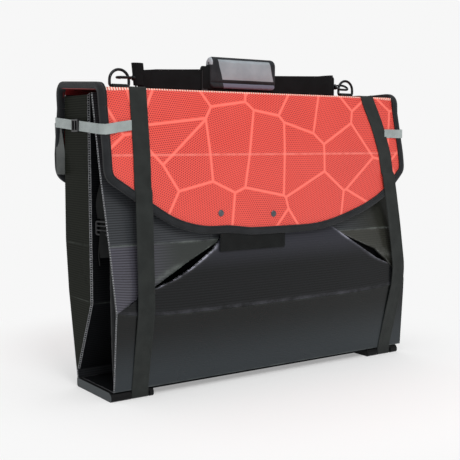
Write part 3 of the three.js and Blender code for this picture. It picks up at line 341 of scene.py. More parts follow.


# Base colour = mix(black, worn, cloud), lightened over each web by line, then by scuffs, by a painted gradient of light
# along an axis from start to end (what it stands for is said at each finish), by the crease marks (stress paling, and
# on the main panel a painted highlight), and nearly to black by the tuck mark as painted shade; roughness = cloud +
# scuff
def hullFinish(name, black, worn, line=0.35, shine=1.0, stress=hullLook["stress"], fadeAndSheen=None, ior=1.5):
    f = Finish(name, black, 0.36, IOR=ior)
    streak = f.noise(f.scaled(f.place, hullLook["streaks"]), 1.0, 4.0, 0.6)
    cloud = f.noise(f.place, 7.0)
    scuff = f.ramp(f.noise(f.scaled(f.place, hullLook["scuffs"]), 1.0, 5.0, 0.7), 0.66, 0.8)
    broken = f.ramp(f.noise(f.scaled(f.place, hullLook["breaks"]), 1.0, 4.0, 0.7), 0.3, 0.72)
    tuck = f.mark("tuck")
    color = f.blend(f.ramp(cloud, 0.3, 0.75), black, worn)
    color = f.blend(f.times(f.mark("web"), line), color, tuple(hullLook["paler"] * c for c in worn))
    color = f.blend(f.times(scuff, 0.05), color, hullLook["scuff"])
    # Painted light: a gradient along one axis toward a lighter tint, standing for the sheen, reflection or light that
    # each finish names
    if fadeAndSheen:
        axis, start, end, tint = fadeAndSheen
        color = f.blend(f.ramp(f.parts(f.place)[axis], start, end), color, tint)
    # Crease marks: stress paling in the sheet; on the main panel, a painted highlight along its curled rim
    color = f.blend(f.times(f.mark("crease"), broken), color, stress)
    # Painted shade: the tucked sheet seen through the slot goes nearly black, and its specular is turned down below
    color = f.blend(tuck, color, hullLook["tuck"])
    rough = f.add(f.ramp(cloud, 0.3, 0.7, *hullLook["rough"]), f.times(scuff, 0.12))
    height = f.add(f.times(streak, 0.5), f.times(cloud, 0.3))
    bright = f.ramp(tuck, 0.0, 1.0, hullLook["shine"] * shine, 0.02)
    return f.use(Base_Color=color, Roughness=rough, Specular_IOR_Level=bright, Normal=f.bump(height, 0.1, 0.0004))


# Cut ends of skins and webs, paler where the knife went through
def cutFinish():
    f = Finish("cutEdge", (0.36, 0.37, 0.38), 0.6)
    speck = f.ramp(f.noise(f.place, 420.0, 2.0), 0.35, 0.65)
    return f.use(Base_Color=f.blend(speck, (0.24, 0.25, 0.26), (0.56, 0.57, 0.6)))


# The board's print: pale lines between irregular cells, each filled with dashes at its own slant. Lengths in metres.
board = {"red": (0.86, 0.088, 0.062), "dash": (0.3, 0.01, 0.012), "line": (0.96, 0.175, 0.13),
         "tick": (0.95, 0.72, 0.6), "fold": (0.96, 0.24, 0.19), "inside": ((0.15, 0.006, 0.008), (0.26, 0.012, 0.014)),
         "cells": 8.6, "shift": (3.37, 1.71, 0), "lineWide": 0.0026, "row": 0.0042, "dashLong": 0.005, "rib": 0.0059,
         "ribSlant": 0.25, "flatFrom": 0.5175, "creaseY": (-0.0925, -0.089), "creaseZ": (0.6075, 0.604),
         "creaseX": (0.3, 0.38), "foldZ": 0.4815, "foldWide": (0.0016, 0.003)}


# Colour = red, dashes where row and dash both run, lines at the cells' edges, ticks of rib at the top crease
def boardFinish(name, flat):
    f = Finish(name, board["red"], 0.42)
    x, y, z = f.parts(f.place)
    v = f.less(board["flatFrom"], y) if flat else z
    plane = f.vector(x, v)
    shifted = f.node("ShaderNodeVectorMath", {0: plane, 1: board["shift"]}, operation="ADD")
    cells = {"Vector": shifted, "Scale": board["cells"]}
    cell = f.node("ShaderNodeTexVoronoi", cells, "Color", voronoi_dimensions="2D", feature="F1")
    edge = f.node("ShaderNodeTexVoronoi", cells, "Distance", voronoi_dimensions="2D", feature="DISTANCE_TO_EDGE")
    slant = f.times(f.parts(cell)[0], math.pi)
    c, s = f.math("COSINE", slant), f.math("SINE", slant)
    u = f.add(f.times(x, c), f.times(v, s))
    row = f.math("DIVIDE", f.less(f.times(v, c), f.times(x, s)), board["row"])
    step = f.times(f.math("FLOOR", row), 0.5)
    inRow = f.ramp(f.rows(row), 0.22, 0.34, 1.0, 0.0)
    inDash = f.ramp(f.rows(f.add(f.math("DIVIDE", u, board["dashLong"]), step)), 0.24, 0.36, 1.0, 0.0)
    wide = board["lineWide"] * board["cells"]
    line = f.ramp(edge, wide * 0.8, wide * 1.15, 1.0, 0.0)
    ink = f.times(f.times(inRow, inDash), f.ramp(edge, wide * 1.3, wide * 1.7))
    fadeAndSheen = f.ramp(f.noise(plane, 5.0, 2.0), 0.3, 0.7, 0.72, 0.95)
    color = f.blend(f.times(ink, fadeAndSheen), board["red"], board["dash"])
    color = f.blend(line, color, board["line"])
    ribs = f.rows(f.math("DIVIDE", f.add(x, f.times(v, board["ribSlant"])), board["rib"]))
    if flat:
        crease = f.ramp(y, *board["creaseY"], 1.0, 0.0)
    else:
        crease = f.ramp(f.less(z, f.ramp(f.far(x), *board["creaseX"], *board["creaseZ"])), 0.0, 0.003)
    color = f.blend(f.times(crease, f.ramp(ribs, 0.2, 0.32, 0.1, 1.0)), color, board["tick"])
    if not flat:
        fold = f.ramp(f.far(f.less(z, board["foldZ"])), *board["foldWide"], 1.0, 0.0)
        broken = f.ramp(f.noise(f.scaled(plane, (60, 10, 1)), 1.0), 0.3, 0.6, 0.25, 0.6)
        color = f.blend(f.times(fold, broken), color, board["fold"])
    rib = f.times(f.rows(f.math("DIVIDE", x, board["rib"])), 0.8)
    height = f.add(f.add(rib, f.times(f.noise(plane, 900.0, 2.0), 0.25)), f.times(line, 0.3))
    rough = f.ramp(f.noise(plane, 14.0, 4.0), 0.3, 0.7, 0.36, 0.5)
    return f.use(Base_Color=color, Roughness=rough, Normal=f.bump(height, 0.22, 0.0007))


# The board's bare inner face: a dull red cloud over the flutes' ribs
def insideFinish():
    f = Finish("boardInside", (0.2, 0.008, 0.01), 0.5)
    color = f.blend(f.ramp(f.noise(f.place, 12.0, 4.0), 0.3, 0.7), *board["inside"])
    rib = f.rows(f.math("DIVIDE", f.parts(f.place)[0], board["rib"]))
    return f.use(Base_Color=color, Normal=f.bump(rib, 0.2, 0.0006))


# Woven tape: ribs across the tape and threads along it, in metres of its own length and width
def wovenFinish(name, dark, light, rib, thread, rough, twill=0.0, sheen=0.25):
    f = Finish(name, light, rough, Sheen_Weight=sheen, Sheen_Roughness=0.5, Specular_IOR_Level=0.16)
    a, b, _ = f.parts(f.node("ShaderNodeUVMap", {}, uv_map="along"))
    ribs, threads = f.wave(f.add(a, f.times(b, twill)), rib), f.wave(b, thread)
    weave = f.add(f.times(ribs, 0.5), f.times(threads, 0.5))
    fuzz, cloud = f.noise(f.vector(a, b), 900.0), f.noise(f.vector(a, b), 30.0)
    share = f.add(f.times(weave, 0.28), f.ramp(cloud, 0.25, 0.75, 0.25, 0.75))
    height = f.add(weave, f.times(fuzz, 0.8))
    return f.use(Base_Color=f.blend(share, dark, light), Normal=f.bump(height, 0.5, 0.00035))


# Cloth seen from anywhere: a fine weave on the object's own coordinates
def clothFinish(name, dark, light, pitch):
    f = Finish(name, light, 0.85, Sheen_Weight=0.3, Sheen_Roughness=0.45)
    x, y, z = f.parts(f.place)
    weave = f.times(f.wave(z, pitch), f.wave(f.add(x, f.times(y, 0.7)), pitch))
    share = f.add(f.times(weave, 0.2), f.ramp(f.noise(f.place, 26.0, 4.0), 0.25, 0.75, 0.2, 0.8))
    height = f.add(weave, f.noise(f.place, 1300.0, 2.0))
    return f.use(Base_Color=f.blend(share, dark, light), Normal=f.bump(height, 0.4, 0.0003))


padLook = {"frame": ((0.016, 0.0185, 0.0215), (0.028, 0.031, 0.035)),
           "face": ((0.29, 0.325, 0.35), (0.35, 0.385, 0.415)), "hem": (0.17, 0.175, 0.23),
           "lining": (0.4, 0.43, 0.46), "slant": 0.26, "slantFrom": 0.665,
           "middle": (0.0035, 0.664), "halfWide": (0.0692, 0.07), "halfTall": (0.0212, 0.022),
           "hemTop": (0.6345, 0.6353), "liningX": (-0.0855, -0.0845), "liningZ": (0.673, 0.675), "weave": 0.0013}


# The pad's colours by place: grey panel inside a dark frame, a dark band, a lilac hem, pale lining at one corner
def padFinish():
    f = Finish("padFace", (0.2, 0.2, 0.2), 0.8, Specular_IOR_Level=0.25)
    x, y, z = f.parts(f.place)
    slant = f.times(f.less(z, padLook["slantFrom"]), padLook["slant"])
    away = f.far(f.add(f.less(x, padLook["middle"][0]), slant))
    high = f.far(f.less(z, padLook["middle"][1]))
    within = f.ramp(away, *padLook["halfWide"], 1.0, 0.0)
    panel = f.times(within, f.ramp(high, *padLook["halfTall"], 1.0, 0.0))
    hem = f.times(within, f.ramp(z, *padLook["hemTop"], 1.0, 0.0))
    lining = f.times(f.ramp(x, *padLook["liningX"], 1.0, 0.0), f.ramp(z, *padLook["liningZ"]))
    weave = f.times(f.wave(x, padLook["weave"]), f.wave(z, padLook["weave"]))
    cloud = f.ramp(f.noise(f.place, 30.0), 0.3, 0.7)
    color = f.blend(panel, f.blend(cloud, *padLook["frame"]), f.blend(cloud, *padLook["face"]))
    color = f.blend(lining, f.blend(hem, color, padLook["hem"]), padLook["lining"])
    return f.use(Base_Color=color, Normal=f.bump(weave, 0.3, 0.0003))


# Moulded plastic or dull metal: a fine grain, paler and rougher in clouds
def mouldedFinish(name, color, rough):
    f = Finish(name, color, rough)
    grain, cloud = f.noise(f.place, 1500.0, 2.0), f.noise(f.place, 30.0)
    shade = f.blend(f.ramp(cloud, 0.4, 0.8), color, tuple(c * 1.9 + 0.004 for c in color))
    spreadOut = f.ramp(cloud, 0.3, 0.7, rough - 0.06, rough + 0.1)
    return f.use(Base_Color=shade, Roughness=spreadOut, Normal=f.bump(grain, 0.3, 0.0002))


# Base colour = black, but a painted blue-grey sheen on the faces at the box's ends
def footFinish():
    f = Finish("footPlastic", (0.004, 0.004, 0.0045), 0.5)
    end = f.ramp(f.far(f.parts(f.place)[0]), 0.3868, 0.3878)
    color = f.blend(end, (0.0035, 0.0036, 0.004), (0.05, 0.058, 0.062))
    speck = f.noise(f.place, 1500.0, 2.0)
    return f.use(Base_Color=color, Specular_IOR_Level=0.15, Normal=f.bump(speck, 0.2, 0.0002))


# Black coating, rubbed through to grey in small spots
def coatedMetal():
    f = Finish("coatedMetal", (0.02, 0.021, 0.023), 0.3, 0.85)
    rub = f.ramp(f.noise(f.place, 240.0), 0.62, 0.72)
    color = f.blend(f.times(rub, 0.5), (0.022, 0.023, 0.025), (0.2, 0.2, 0.21))
    return f.use(Base_Color=color, Roughness=f.ramp(f.noise(f.place, 60.0, 4.0), 0.3, 0.7, 0.22, 0.36))


# Rib, thread, roughness and twill of the two kinds of webbing
blackWeave, greyWeave = (0.0013, 0.0022, 0.85), (0.0011, 0.0015, 0.75, 0.8)

hullBlack = hullFinish("hullBlack", (0.005, 0.0053, 0.0058), (0.0085, 0.009, 0.01))
# The front panels are the black sheet in lit and shaded copies. Main: painted darker, with a painted violet sheen
# toward its top. Band: a painted reflection of the floor, lighter toward its bottom. Upper: painted lighter, most at
# its right end, where the flap shades it.
hullMainShadeAndSheen = hullFinish("hullMainShadeAndSheen", (0.002, 0.0022, 0.0024), (0.004, 0.0043, 0.0048), 0.32, stress=hullLook["rim"],
                      fadeAndSheen=(2, 0.235, 0.298, (0.028, 0.0285, 0.037)))
hullBandReflection = hullFinish("hullBandReflection", (0.004, 0.0045, 0.0044), (0.006, 0.0068, 0.0066), 0.05, 1.2,
                      fadeAndSheen=(2, 0.15, 0.03, (0.026, 0.032, 0.0365)))
# The gussets are the same black sheet painted lighter as their sheen: violet on the left, lighter and greener toward
# its pleat, and olive on the right
hullGussetSheen = hullFinish("hullGussetSheen", (0.0165, 0.016, 0.0195), (0.027, 0.0262, 0.033), 0.5, 1.4,
                        fadeAndSheen=(0, -0.33, -0.22, (0.03, 0.0345, 0.032)))
hullOliveSheen = hullFinish("hullOliveSheen", (0.02, 0.0205, 0.0165), (0.032, 0.0325, 0.027), 0.1, 1.4,
                       stress=(0.3, 0.31, 0.3))
hullUpperLit = hullFinish("hullUpperLit", (0.0125, 0.014, 0.0155), (0.021, 0.0225, 0.025), 0.35, 1.2,
                       fadeAndSheen=(0, 0.18, 0.34, (0.026, 0.027, 0.022)))
hullInside = hullFinish("hullInside", (0.0022, 0.0023, 0.0025), (0.004, 0.0043, 0.0048), shine=0.4, ior=1.2)
plateBlack = hullFinish("plateBlack", (0.005, 0.0056, 0.0044), (0.0085, 0.0092, 0.0072), 0.3, 0.5, ior=1.12)
cutEdge = cutFinish()
boardFront, boardTop = boardFinish("boardFrontPrint", False), boardFinish("boardTopPrint", True)
boardInside = insideFinish()
bindingTape = wovenFinish("bindingTape", (0.009, 0.0098, 0.011), (0.024, 0.026, 0.029), 0.0011, 0.0016, 0.8, sheen=0.1)
blackWeb = wovenFinish("blackWebbing", (0.011, 0.0125, 0.012), (0.028, 0.032, 0.03), *blackWeave, sheen=0.12)
handleWeb = wovenFinish("handleWebbing", (0.003, 0.0036, 0.004), (0.008, 0.0095, 0.0105), *blackWeave, sheen=0.0)
innerWeb = wovenFinish("innerWebbing", (0.006, 0.0065, 0.0065), (0.014, 0.015, 0.015), *blackWeave, sheen=0.0)
greyWeb = wovenFinish("greyWebbing", (0.25, 0.285, 0.28), (0.44, 0.49, 0.48), *greyWeave)
# The tail is the grey webbing painted darker as shade, where it hangs behind the end plate
tailWebShaded = wovenFinish("tailWebbingShaded", (0.07, 0.075, 0.074), (0.15, 0.16, 0.155), *greyWeave)
moulded = mouldedFinish("mouldedBlack", (0.01, 0.0105, 0.012), 0.42)
# The rivets' grey is a painted highlight on the domed heads
rivetGlint = mouldedFinish("rivetGlint", (0.055, 0.06, 0.068), 0.35)
footPlastic, blackMetal, padFace = footFinish(), coatedMetal(), padFinish()
gearCloth = clothFinish("gearCloth", (0.01, 0.011, 0.012), (0.028, 0.03, 0.032), 0.0016)
print("materials made:", len(bpy.data.materials))


# Hull
hull = {"half": 388.0, "wall": 5.0, "skin": 0.6, "web": 1.5, "pitch": 4.8, "swell": 0.28, "floor": 18.3, "chine": 180.0,
        "foot": 212.0, "crease": 305.0, "top": 603.2, "backHalf": 387.9,
        "sag": {"front": (18.0, 180.0, 305.0, 6), "back": (16.0, 199.0, 325.0, 2)}}
endOf = {"left": -1, "right": 1}
pleat = {"sink": 6.0, "tuck": 34.0, "deep": 12.0, "round": 7.0, "curl": 5.5, "curlWide": 9.0, "curlAt": (256, 26)}

# How each side of the box is seen: c runs to the viewer's right and f away from the viewer
views = {
    "front": lambda c, f, z: spread(c, f, z),
    "back": lambda c, f, z: spread(-c, -f, z),
    "left": lambda c, f, z: spread(f, -c, z),
    "right": lambda c, f, z: spread(-f, c, z),
}


# Sag = depth (1 - |x / half|^power), times a share that rises from floor to chine and falls from there to the crease
def sagAt(x, z, side="front"):
    depth, chine, crease, power = hull["sag"][side]
    below, above = (z - hull["floor"]) / (chine - hull["floor"]), (crease - z) / (crease - chine)
    return depth * (1 - np.abs(x / hull["half"]) ** power) * np.clip(np.minimum(below, above), 0, None)


# A twin-wall panel seen from outside: c runs to the right, f is the outer face's depth (outside is lower), z is up.
# The face follows knots of (f, z), left and right give c by height, and creases are (height, reach, strength).
# Depth and height = the softened line through the knots, moved inward by each row's depth; height loses the sag.
# Each flute is a hole between two webs, and the outer skin swells a little over it. The four rows of points are
# the outer face, the hole's outer side, the hole's inner side and the inner face.
def twinWall(knots, left, right, columns, view=views["front"], sag=None, soft=2.0, creases=(), stress=None,
             tucked=None):
    face = np.asarray(knots, float)
    way = walked(face)
    count = int(round(way[-1] / hull["pitch"]))
    pitch = way[-1] / count
    flute = np.array([hull["web"] / 2, pitch / 2, pitch - hull["web"] / 2])
    s = np.concatenate([[0], (np.arange(count)[:, None] * pitch + flute).ravel(), [way[-1]]])
    middle = np.concatenate([[0], np.tile([0.0, 1.0, 0.0], count), [0]])
    fine = np.linspace(0, way[-1], 600)
    curve = np.stack([np.interp(fine, way, column) for column in face.T], 1)
    width = max(1, int(soft / (fine[1] - fine[0])))
    mean = np.stack([runningMean(column, width) for column in curve.T], 1)
    share = np.clip(np.minimum(fine, way[-1] - fine) / (2 * soft), 0, 1)[:, None]
    curve = curve * (1 - share) + mean * share
    line, run = (np.stack([np.interp(s, fine, column) for column in rows.T], 1)
                 for rows in (curve, unit(np.gradient(curve, axis=0))))
    swell = hull["swell"] * middle
    depths = np.stack([-swell, hull["skin"] + 0 * s, hull["wall"] - hull["skin"] + 0 * s, hull["wall"] + 0.5 * swell])
    f, z = (line[:, 0] + depths * run[:, 1])[None], (line[:, 1] - depths * run[:, 0])[None]
    c = left(z) + np.linspace(0, 1, columns)[:, None, None] * (right(z) - left(z))
    f, z = f + 0 * c, z + 0 * c
    points = view(c, f, z - sagAt(c, z, sag) if sag else z)
    m = len(s)
    lane = 4 * m

    # Quads from the points numbered start + row m + js, each one over step wide and one up step tall
    def quads(start, row, js, over, up, turned):
        corners = (start + row * m + js)[..., None] + np.array([0, over, over + up, up])
        return corners.reshape(-1, 4)[:, ::-1 if turned else 1]

    i, j, ends = np.arange(columns - 1)[:, None] * lane, np.arange(m - 1), (np.array([0]), np.array([m - 1]))
    holes, webs = j[j % 3 != 0], np.arange(0, m - 1, 3)
    faces = [[quads(i, 0, j, lane, 1, False), quads(i, 3, j, lane, 1, True)],
             [quads(i, 1, holes, lane, 1, True), quads(i, 2, holes, lane, 1, False),
              quads(i, 1, webs[:-1] + 1, lane, m, False), quads(i, 1, webs[1:], lane, m, True)],
             [quads(i, row, js, lane, m, js[0] == 0) for js in ends for row in (0, 1, 2)],
             [quads(column * lane, row, js, 1, m, column > 0) for column in (0, columns - 1)
              for row, js in ((0, j), (2, j), (1, webs))]]
    tones = np.repeat([0, 1, 0, 2], [sum(map(len, part)) for part in faces])
    paled = [strength * np.clip(1 - np.abs(z - at) / reach, 0, 1) ** 1.5 for at, reach, strength in creases]
    # Crease marks are stress paling, and for the main panel also its rim's painted highlight
    marks = {"crease": np.maximum.reduce([0 * z, *paled, stress(c, z) if stress else 0 * z]),
             # tuck: painted shade of the sheet inside the slot
             "web": 0 * z + 1 - middle, "tuck": tucked(c, z) if tucked else 0 * z}
    return (points.reshape(-1, 3), sum(faces, [])), tones, marks


def hullPiece(name, finish, knots, left, right, columns, cut=cutEdge, **more):
    shape, tones, marks = twinWall(knots, left, right, columns, **more)
    makePiece(name, shape, [finish, hullInside, cut], "root", "hull_sheet", tones=tones, marks=marks)


# A line through knots of (height, value), straight on past its ends
def knotLine(*knots):
    heights, values = zip(*knots)
    slopes = [(values[k + 1] - values[k]) / (heights[k + 1] - heights[k]) for k in (0, -2)]

    def at(z):
        low, high = np.minimum(z - heights[0], 0), np.maximum(z - heights[-1], 0)
        return np.interp(z, heights, values) + low * slopes[0] + high * slopes[1]
    return at


def level(value):
    return lambda z: value + 0 * z


# The front: a band below the sagging chine, a main panel between two pleats, two gussets, and the upper panel
sheetRight = knotLine((18, 399), (150, 393), (180, 391), (305, 389), (603, 388))
sheetLeft = knotLine((18, -379), (180, -380), (305, -384), (445, -387.5), (603, -387.9))
mainLeft = knotLine((180, -379), (203, -343), (225, -298), (234, -272), (240, -252), (260, -206), (289, -150),
                    (345, -95))
mainRight = knotLine((180, 374), (212, 359), (230, 338), (246, 300), (300, 205), (345, 130))
gussetLeft = knotLine((180, -378), (202, -342), (226, -297), (267, -214.5), (297, -147), (305, -131))
gussetRight = knotLine((180, 380), (212, 364), (236, 345), (262, 312), (308, 190))


# A gusset sinks toward its pleat, and past its fold line it turns in behind the main panel, where it is painted nearly
# black as the slot's shade.
# Its fold line is paled along its whole length, with a patch of stress in its middle.
def buildGusset(name, edge, finish):
    side = endOf[name]

    def view(c, f, z):
        past = np.clip(side * (edge(z) - c), 0, None)
        share = np.clip((hull["half"] - np.abs(c)) / (hull["half"] - np.abs(edge(z))), 0, 1)
        down = np.minimum(between(z, hull["crease"], hull["foot"]), between(z, hull["chine"], hull["foot"]))
        tuck = pleat["deep"] * (1 - np.exp(-past / pleat["round"])) * np.clip(down + 0.15, 0, 1)
        return spread(c, f + (pleat["sink"] * share ** 1.5 * down + tuck), z - sagAt(c, z))

    def stress(c, z):
        away = side * (c - edge(z))
        return np.maximum(0.75 * bell(away, 0, 1.8), 0.45 * bell(away, 14, 12) * bell(z, 252, 14))

    # Painted shade: the share of the sheet tucked into the slot, which the finish takes nearly to black
    def tucked(c, z):
        return between(side * (edge(z) - c), 0, 5)

    def inner(z):
        return edge(z) - side * pleat["tuck"] * between(z, 190, 220)

    ends = (sheetLeft, inner) if side < 0 else (inner, sheetRight)
    hullPiece("hull_front_gusset_" + name, finish, [(-125, 180), (-105.5, 304.7)], *ends, 61, view=view,
              creases=[(304.6, 3, 0.3), (181, 3, 0.35)], stress=stress, tucked=tucked)


# The main panel's edges curl toward the front between the pleat's foot and the crease
def mainView(c, f, z):
    lift = sum(bell(c, edge(z), pleat["curlWide"]) for edge in (mainLeft, mainRight)) * bell(z, *pleat["curlAt"])
    return spread(c, f - pleat["curl"] * lift, z - sagAt(c, z))


# Painted highlight along the main panel's curled rims, most on the left, with a patch near its top on the right
def mainRimHighlight(c, z):
    away = np.minimum(c - mainLeft(z), mainRight(z) - c)
    high = np.minimum(between(z, 226, 234), between(z, 300, 288)) * np.where(c < 0, 0.95, 0.3)
    return bell(away, 0, 5.5) * np.maximum(high, 0.8 * bell(c, 208, 22) * between(z, 282, 290) * (c > 0))


def buildHull():
    floor, top = hull["floor"], hull["top"]
    ends, behind = (sheetLeft, sheetRight), (lambda z: -sheetRight(z), level(hull["backHalf"]))
    hullPiece("hull_front_lower", hullBandReflection, [(-108, floor), (-125, 179.4)], *ends, 61, sag="front",
              creases=[(180, 4, 0.12), (19, 3, 0.2)])
    main = [(-125, 180), (-121.7, 212), (-113.5, 291), (-111, 305), (-103, 345)]
    hullPiece("hull_front_main", hullMainShadeAndSheen, main, mainLeft, mainRight, 81, cut=hullMainShadeAndSheen, view=mainView, soft=5,
              creases=[(182, 8, 0.075)], stress=mainRimHighlight)
    buildGusset("left", gussetLeft, hullGussetSheen)
    buildGusset("right", gussetRight, hullOliveSheen)
    hullPiece("hull_front_upper", hullUpperLit, [(-105.5, 305), (-46, top)], *ends, 9, creases=[(305.5, 4, 0.42)])
    hullPiece("hull_back_lower", hullBlack, [(-42, floor), (-77, 199), (-88, 324.7)], *behind, 49, view=views["back"],
              sag="back", soft=4, creases=[(199, 3, 0.2), (324, 4, 0.3)])
    hullPiece("hull_back_upper", hullBlack, [(-88, 325), (-81, top)], *behind, 9, view=views["back"],
              creases=[(326, 4, 0.3)])


# The end plates: flutes run front to back, and the front edge follows the folded inner wall
plateFront = knotLine((34, 41.5), (183, -26), (445, -24.5), (603.2, -24.5))
plateBack = knotLine((18.3, 40.5), (199, 76.2), (305, 87.4), (430, 86.6), (603.2, 80.5))


def buildEnds():
    left = (lambda z: -plateBack(z), lambda z: -plateFront(z))
    for name, ends in (("left", left), ("right", (plateFront, plateBack))):
        hullPiece("hull_end_plate_" + name, plateBlack, [(-388, 34), (-388, 600)], *ends, 21, view=views[name],
                  creases=[(187, 1.4, 0.22), (300, 1.4, 0.22), (560, 1.2, 0.1)])


# The folded inner wall that the end plates turn from, and the bottom between front and back
def buildInside():
    wall = [(41.5, 34), (-26, 183), (-24.5, 603)]
    hullPiece("hull_inner_wall", hullInside, wall, level(-382.5), level(382.5), 9, soft=3, creases=[(183, 3, 0.15)])
    bottom = [(-103, hull["floor"]), (36, hull["floor"])]
    hullPiece("hull_floor", hullInside, bottom, sheetLeft, level(hull["backHalf"]), 9)


buildHull()
buildEnds()
buildInside()
print("hull made")


# Floorboard: two flaps and a top panel, all with ribs that run over the hinge creases
flap = {"top": 612.0, "fold": 482.0, "lip": 311.0, "wall": 5.0, "half": 398.0, "topHalf": 391.5, "joinHalf": 392.8,
        "corner": 434.0, "cornerCut": 21.0, "turn": 185.0, "turnCut": 100.0, "inset": 3.8, "rib": 5.9, "lean": -8.3}
reachOf = {
    "front": knotLine((311, 120), (482, 111.5), (612, 94.5)),
    "back": knotLine((311, 117.5), (482, 115.5), (612, 87.5)),
}
sideOf = {"front": -1, "back": 1}


# The folded board is out of square: above the fold it leans toward the left
def lean(z):
    return flap["lean"] * between(z, 445, 600)


# The top panel's back edge stands a little proud of the hull at the left end
def topRise(x, y):
    return between(y, -80, 85) * (9.5 * bell(x, -405, 75) - 5.0 * bell(x, 390, 75))


def ribRipple(x):
    return 0.12 * np.cos(2 * math.pi * x / flap["rib"])


# A corner rounded by a curve that leaves and meets its two sides at a cut's distance
def cutCorner(before, at, after, cut, steps):
    before, at, after = (np.asarray(p, float) for p in (before, at, after))
    first, last = at + unit(before - at) * cut, at + unit(after - at) * cut
    t = np.linspace(0, 1, steps)[:, None]
    return (1 - t) ** 2 * first + 2 * t * (1 - t) * at + t ** 2 * last


# Half width of a flap by height
def flapHalf(z):
    return np.interp(z, (flap["corner"], flap["top"]), (flap["half"], flap["topHalf"]))


# Half outline of a flap from a height down its side, round the corner and along the lip, as (half width, height)
def flapEdge(top):
    start, corner = (flapHalf(top), top), (flap["half"], flap["corner"])
    turn, middle = (flap["turn"], flap["lip"]), (0, flap["lip"])
    return np.vstack([[start], cutCorner(start, corner, turn, flap["cornerCut"], 9),
                      cutCorner(corner, turn, middle, flap["turnCut"], 25), [middle]])


# The front flap's lip rides up a little left of the closure tab and hangs lower by the two straps
def lipLift(x, z, which):
    lift = 6.5 * bell(x, -115, 42) - 8.5 * bell(x, -265, 75) - 15.5 * bell(x, 320, 75)
    return lift * between(z, 428, 408) * (which == "front")


# Height of a flap's lower edge by place along the box
def lipHeight(x, which):
    edge = flapEdge(flap["top"])[::-1]
    low = np.interp(np.abs(x), edge[:, 0], edge[:, 1])
    return low + lipLift(x, low, which)


# A sheet with thickness from its two faces, each a grid of points; tones are 0 outside, 1 inside, 2 round the rim
def slab(outer, inner):
    n, m = outer.shape[:2]
    front = gridQuads(n, m)
    behind = front[:, ::-1] + n * m
    index = np.arange(n * m).reshape(n, m)
    loop = np.concatenate([index[0, :-1], index[:-1, -1], index[-1, :0:-1], index[:0:-1, 0]])
    after = np.roll(loop, -1)
    rim = spread(loop, loop + n * m, after + n * m, after)
    tones = np.repeat([0, 1, 2], [len(front), len(behind), len(rim)])
    return (np.vstack([outer.reshape(-1, 3), inner.reshape(-1, 3)]), [front, behind, rim]), tones


def boardPiece(name, outer, inner, printed, body):
    shape, tones = slab(outer, inner)
    makePiece(name, shape, [printed, boardInside, boardInside], body, "board_sheet", tones=tones, sharp=38)


# Depth = the flap's reach by height, less a soft dip at the fold, with a ripple over the ribs
def buildFlap(which):
    sign = sideOf[which]
    share, t = np.linspace(-1, 1, 161), np.linspace(0, 1, 81)[:, None]
    low = lipHeight(share * flap["half"], which) + flap["inset"] * np.where(np.abs(share) > 0.99, 0.2, 1.0)
    z = flap["top"] - 0.3 + t * (low - flap["top"] + 0.3)
    x = share * (flapHalf(z) - flap["inset"]) + lean(z)
    y = reachOf[which](z) - 0.5 * bell(z, flap["fold"], 5)
    rise = between(z, 550, 610) * topRise(x, 88) * (which == "back")
    outer = spread(x, sign * (y + ribRipple(x)), z + rise)
    inner = spread(x, sign * (y - flap["wall"]), z - np.where(t == 0, flap["wall"], 0) + rise)
    boardPiece("floorboard_" + which, outer, inner, boardFront, which + "_flap")


# Height = the board's top + a ripple over the ribs + the rise at the left end
def buildBoardTop():
    x, y = lean(flap["top"]) + np.linspace(-387.7, 387.7, 161), np.linspace(-94.2, 87.2, 13)[:, None]
    rise = topRise(x, y)
    outer = spread(x, y, flap["top"] - 0.2 + ribRipple(x) + rise)
    inner = spread(x, np.clip(y, -89.4, 82.4), flap["top"] - flap["wall"] + rise)
    boardPiece("floorboard_top", outer, inner, boardTop, "root")


buildFlap("front")
buildFlap("back")
buildBoardTop()
print("floorboard made")


# Edge binding: folded tape with a rounded back and a stitch groove on each face
binding = {"thick": 12.4, "endThick": 14.0, "loopTop": 615.0, "join": 576.0, "round": 20.0,
           "blend": {"front": (-0.066, -0.0965), "back": (0.06, 0.0925)}, "blendZ": (0.6153, 0.588)}


# A section from its upper half of points (u, v), with the same points below from first on
def doubled(upper, first):
    upper = np.array(upper)
    return np.vstack([upper, (upper * [1, -1])[first:-1][::-1]])


# u runs in from the outer edge, v across the thickness; one v is a half thickness
bindingSection = doubled([(16.5, 0.8), (15.8, 0.97), (14.0, 0.99), (13.0, 0.86), (12.0, 1.0), (8.0, 1.0), (4.5, 0.98),
                          (2.0, 0.84), (0.6, 0.52), (0.0, 0.0)], 0)


# Distance along the path and round the profile, with two rows of nothing for the middles of the end fans
def profileUv(profile, path, scale=1.0):
    across = walked(np.vstack([profile, profile[:1]]) * [1, scale])[:-1]
    return np.vstack([spread(walked(path)[:, None], across).reshape(-1, 2), np.zeros((2, 2))])


def bindingPiece(name, path, inward, out, thick, body, replaces=None):
    half = np.broadcast_to(thick, len(path))[:, None] / 2
    uv = profileUv(bindingSection, path, 6)
    shape = carried(bindingSection, path, inward, out * half)
    return makePiece(name, shape, bindingTape, body, "binding_tape", replaces, uv, sharp=50)


# The section carried along the flap's outline at the middle of the board's thickness, leaning in with its slope
def buildFlapBinding(which):
    sign, reach = sideOf[which], reachOf[which]
    right = flapEdge(binding["join"])
    line = smoothPath(np.vstack([right, (right * [-1, 1])[::-1][1:]]), 4.0, 8.0)
    line[:, 1] += lipLift(line[:, 0], line[:, 1], which)
    x, z = line.T
    run = tangents(line)
    slope = (reach(z + 8) - reach(z - 8)) / 16
    path = spread(x + lean(z), sign * (reach(z) - flap["wall"] / 2), z)
    inward = spread(run[:, 1], -sign * slope * run[:, 0], -run[:, 0])
    inward *= np.sign(np.einsum("ij,ij->i", inward, [0, sign * reach(500.0), 500.0] - path))[:, None]
    out = np.tile([0.0, sign, 0.0], (len(path), 1))
    bindingPiece("binding_" + which, path, inward, out, binding["thick"], which + "_flap")


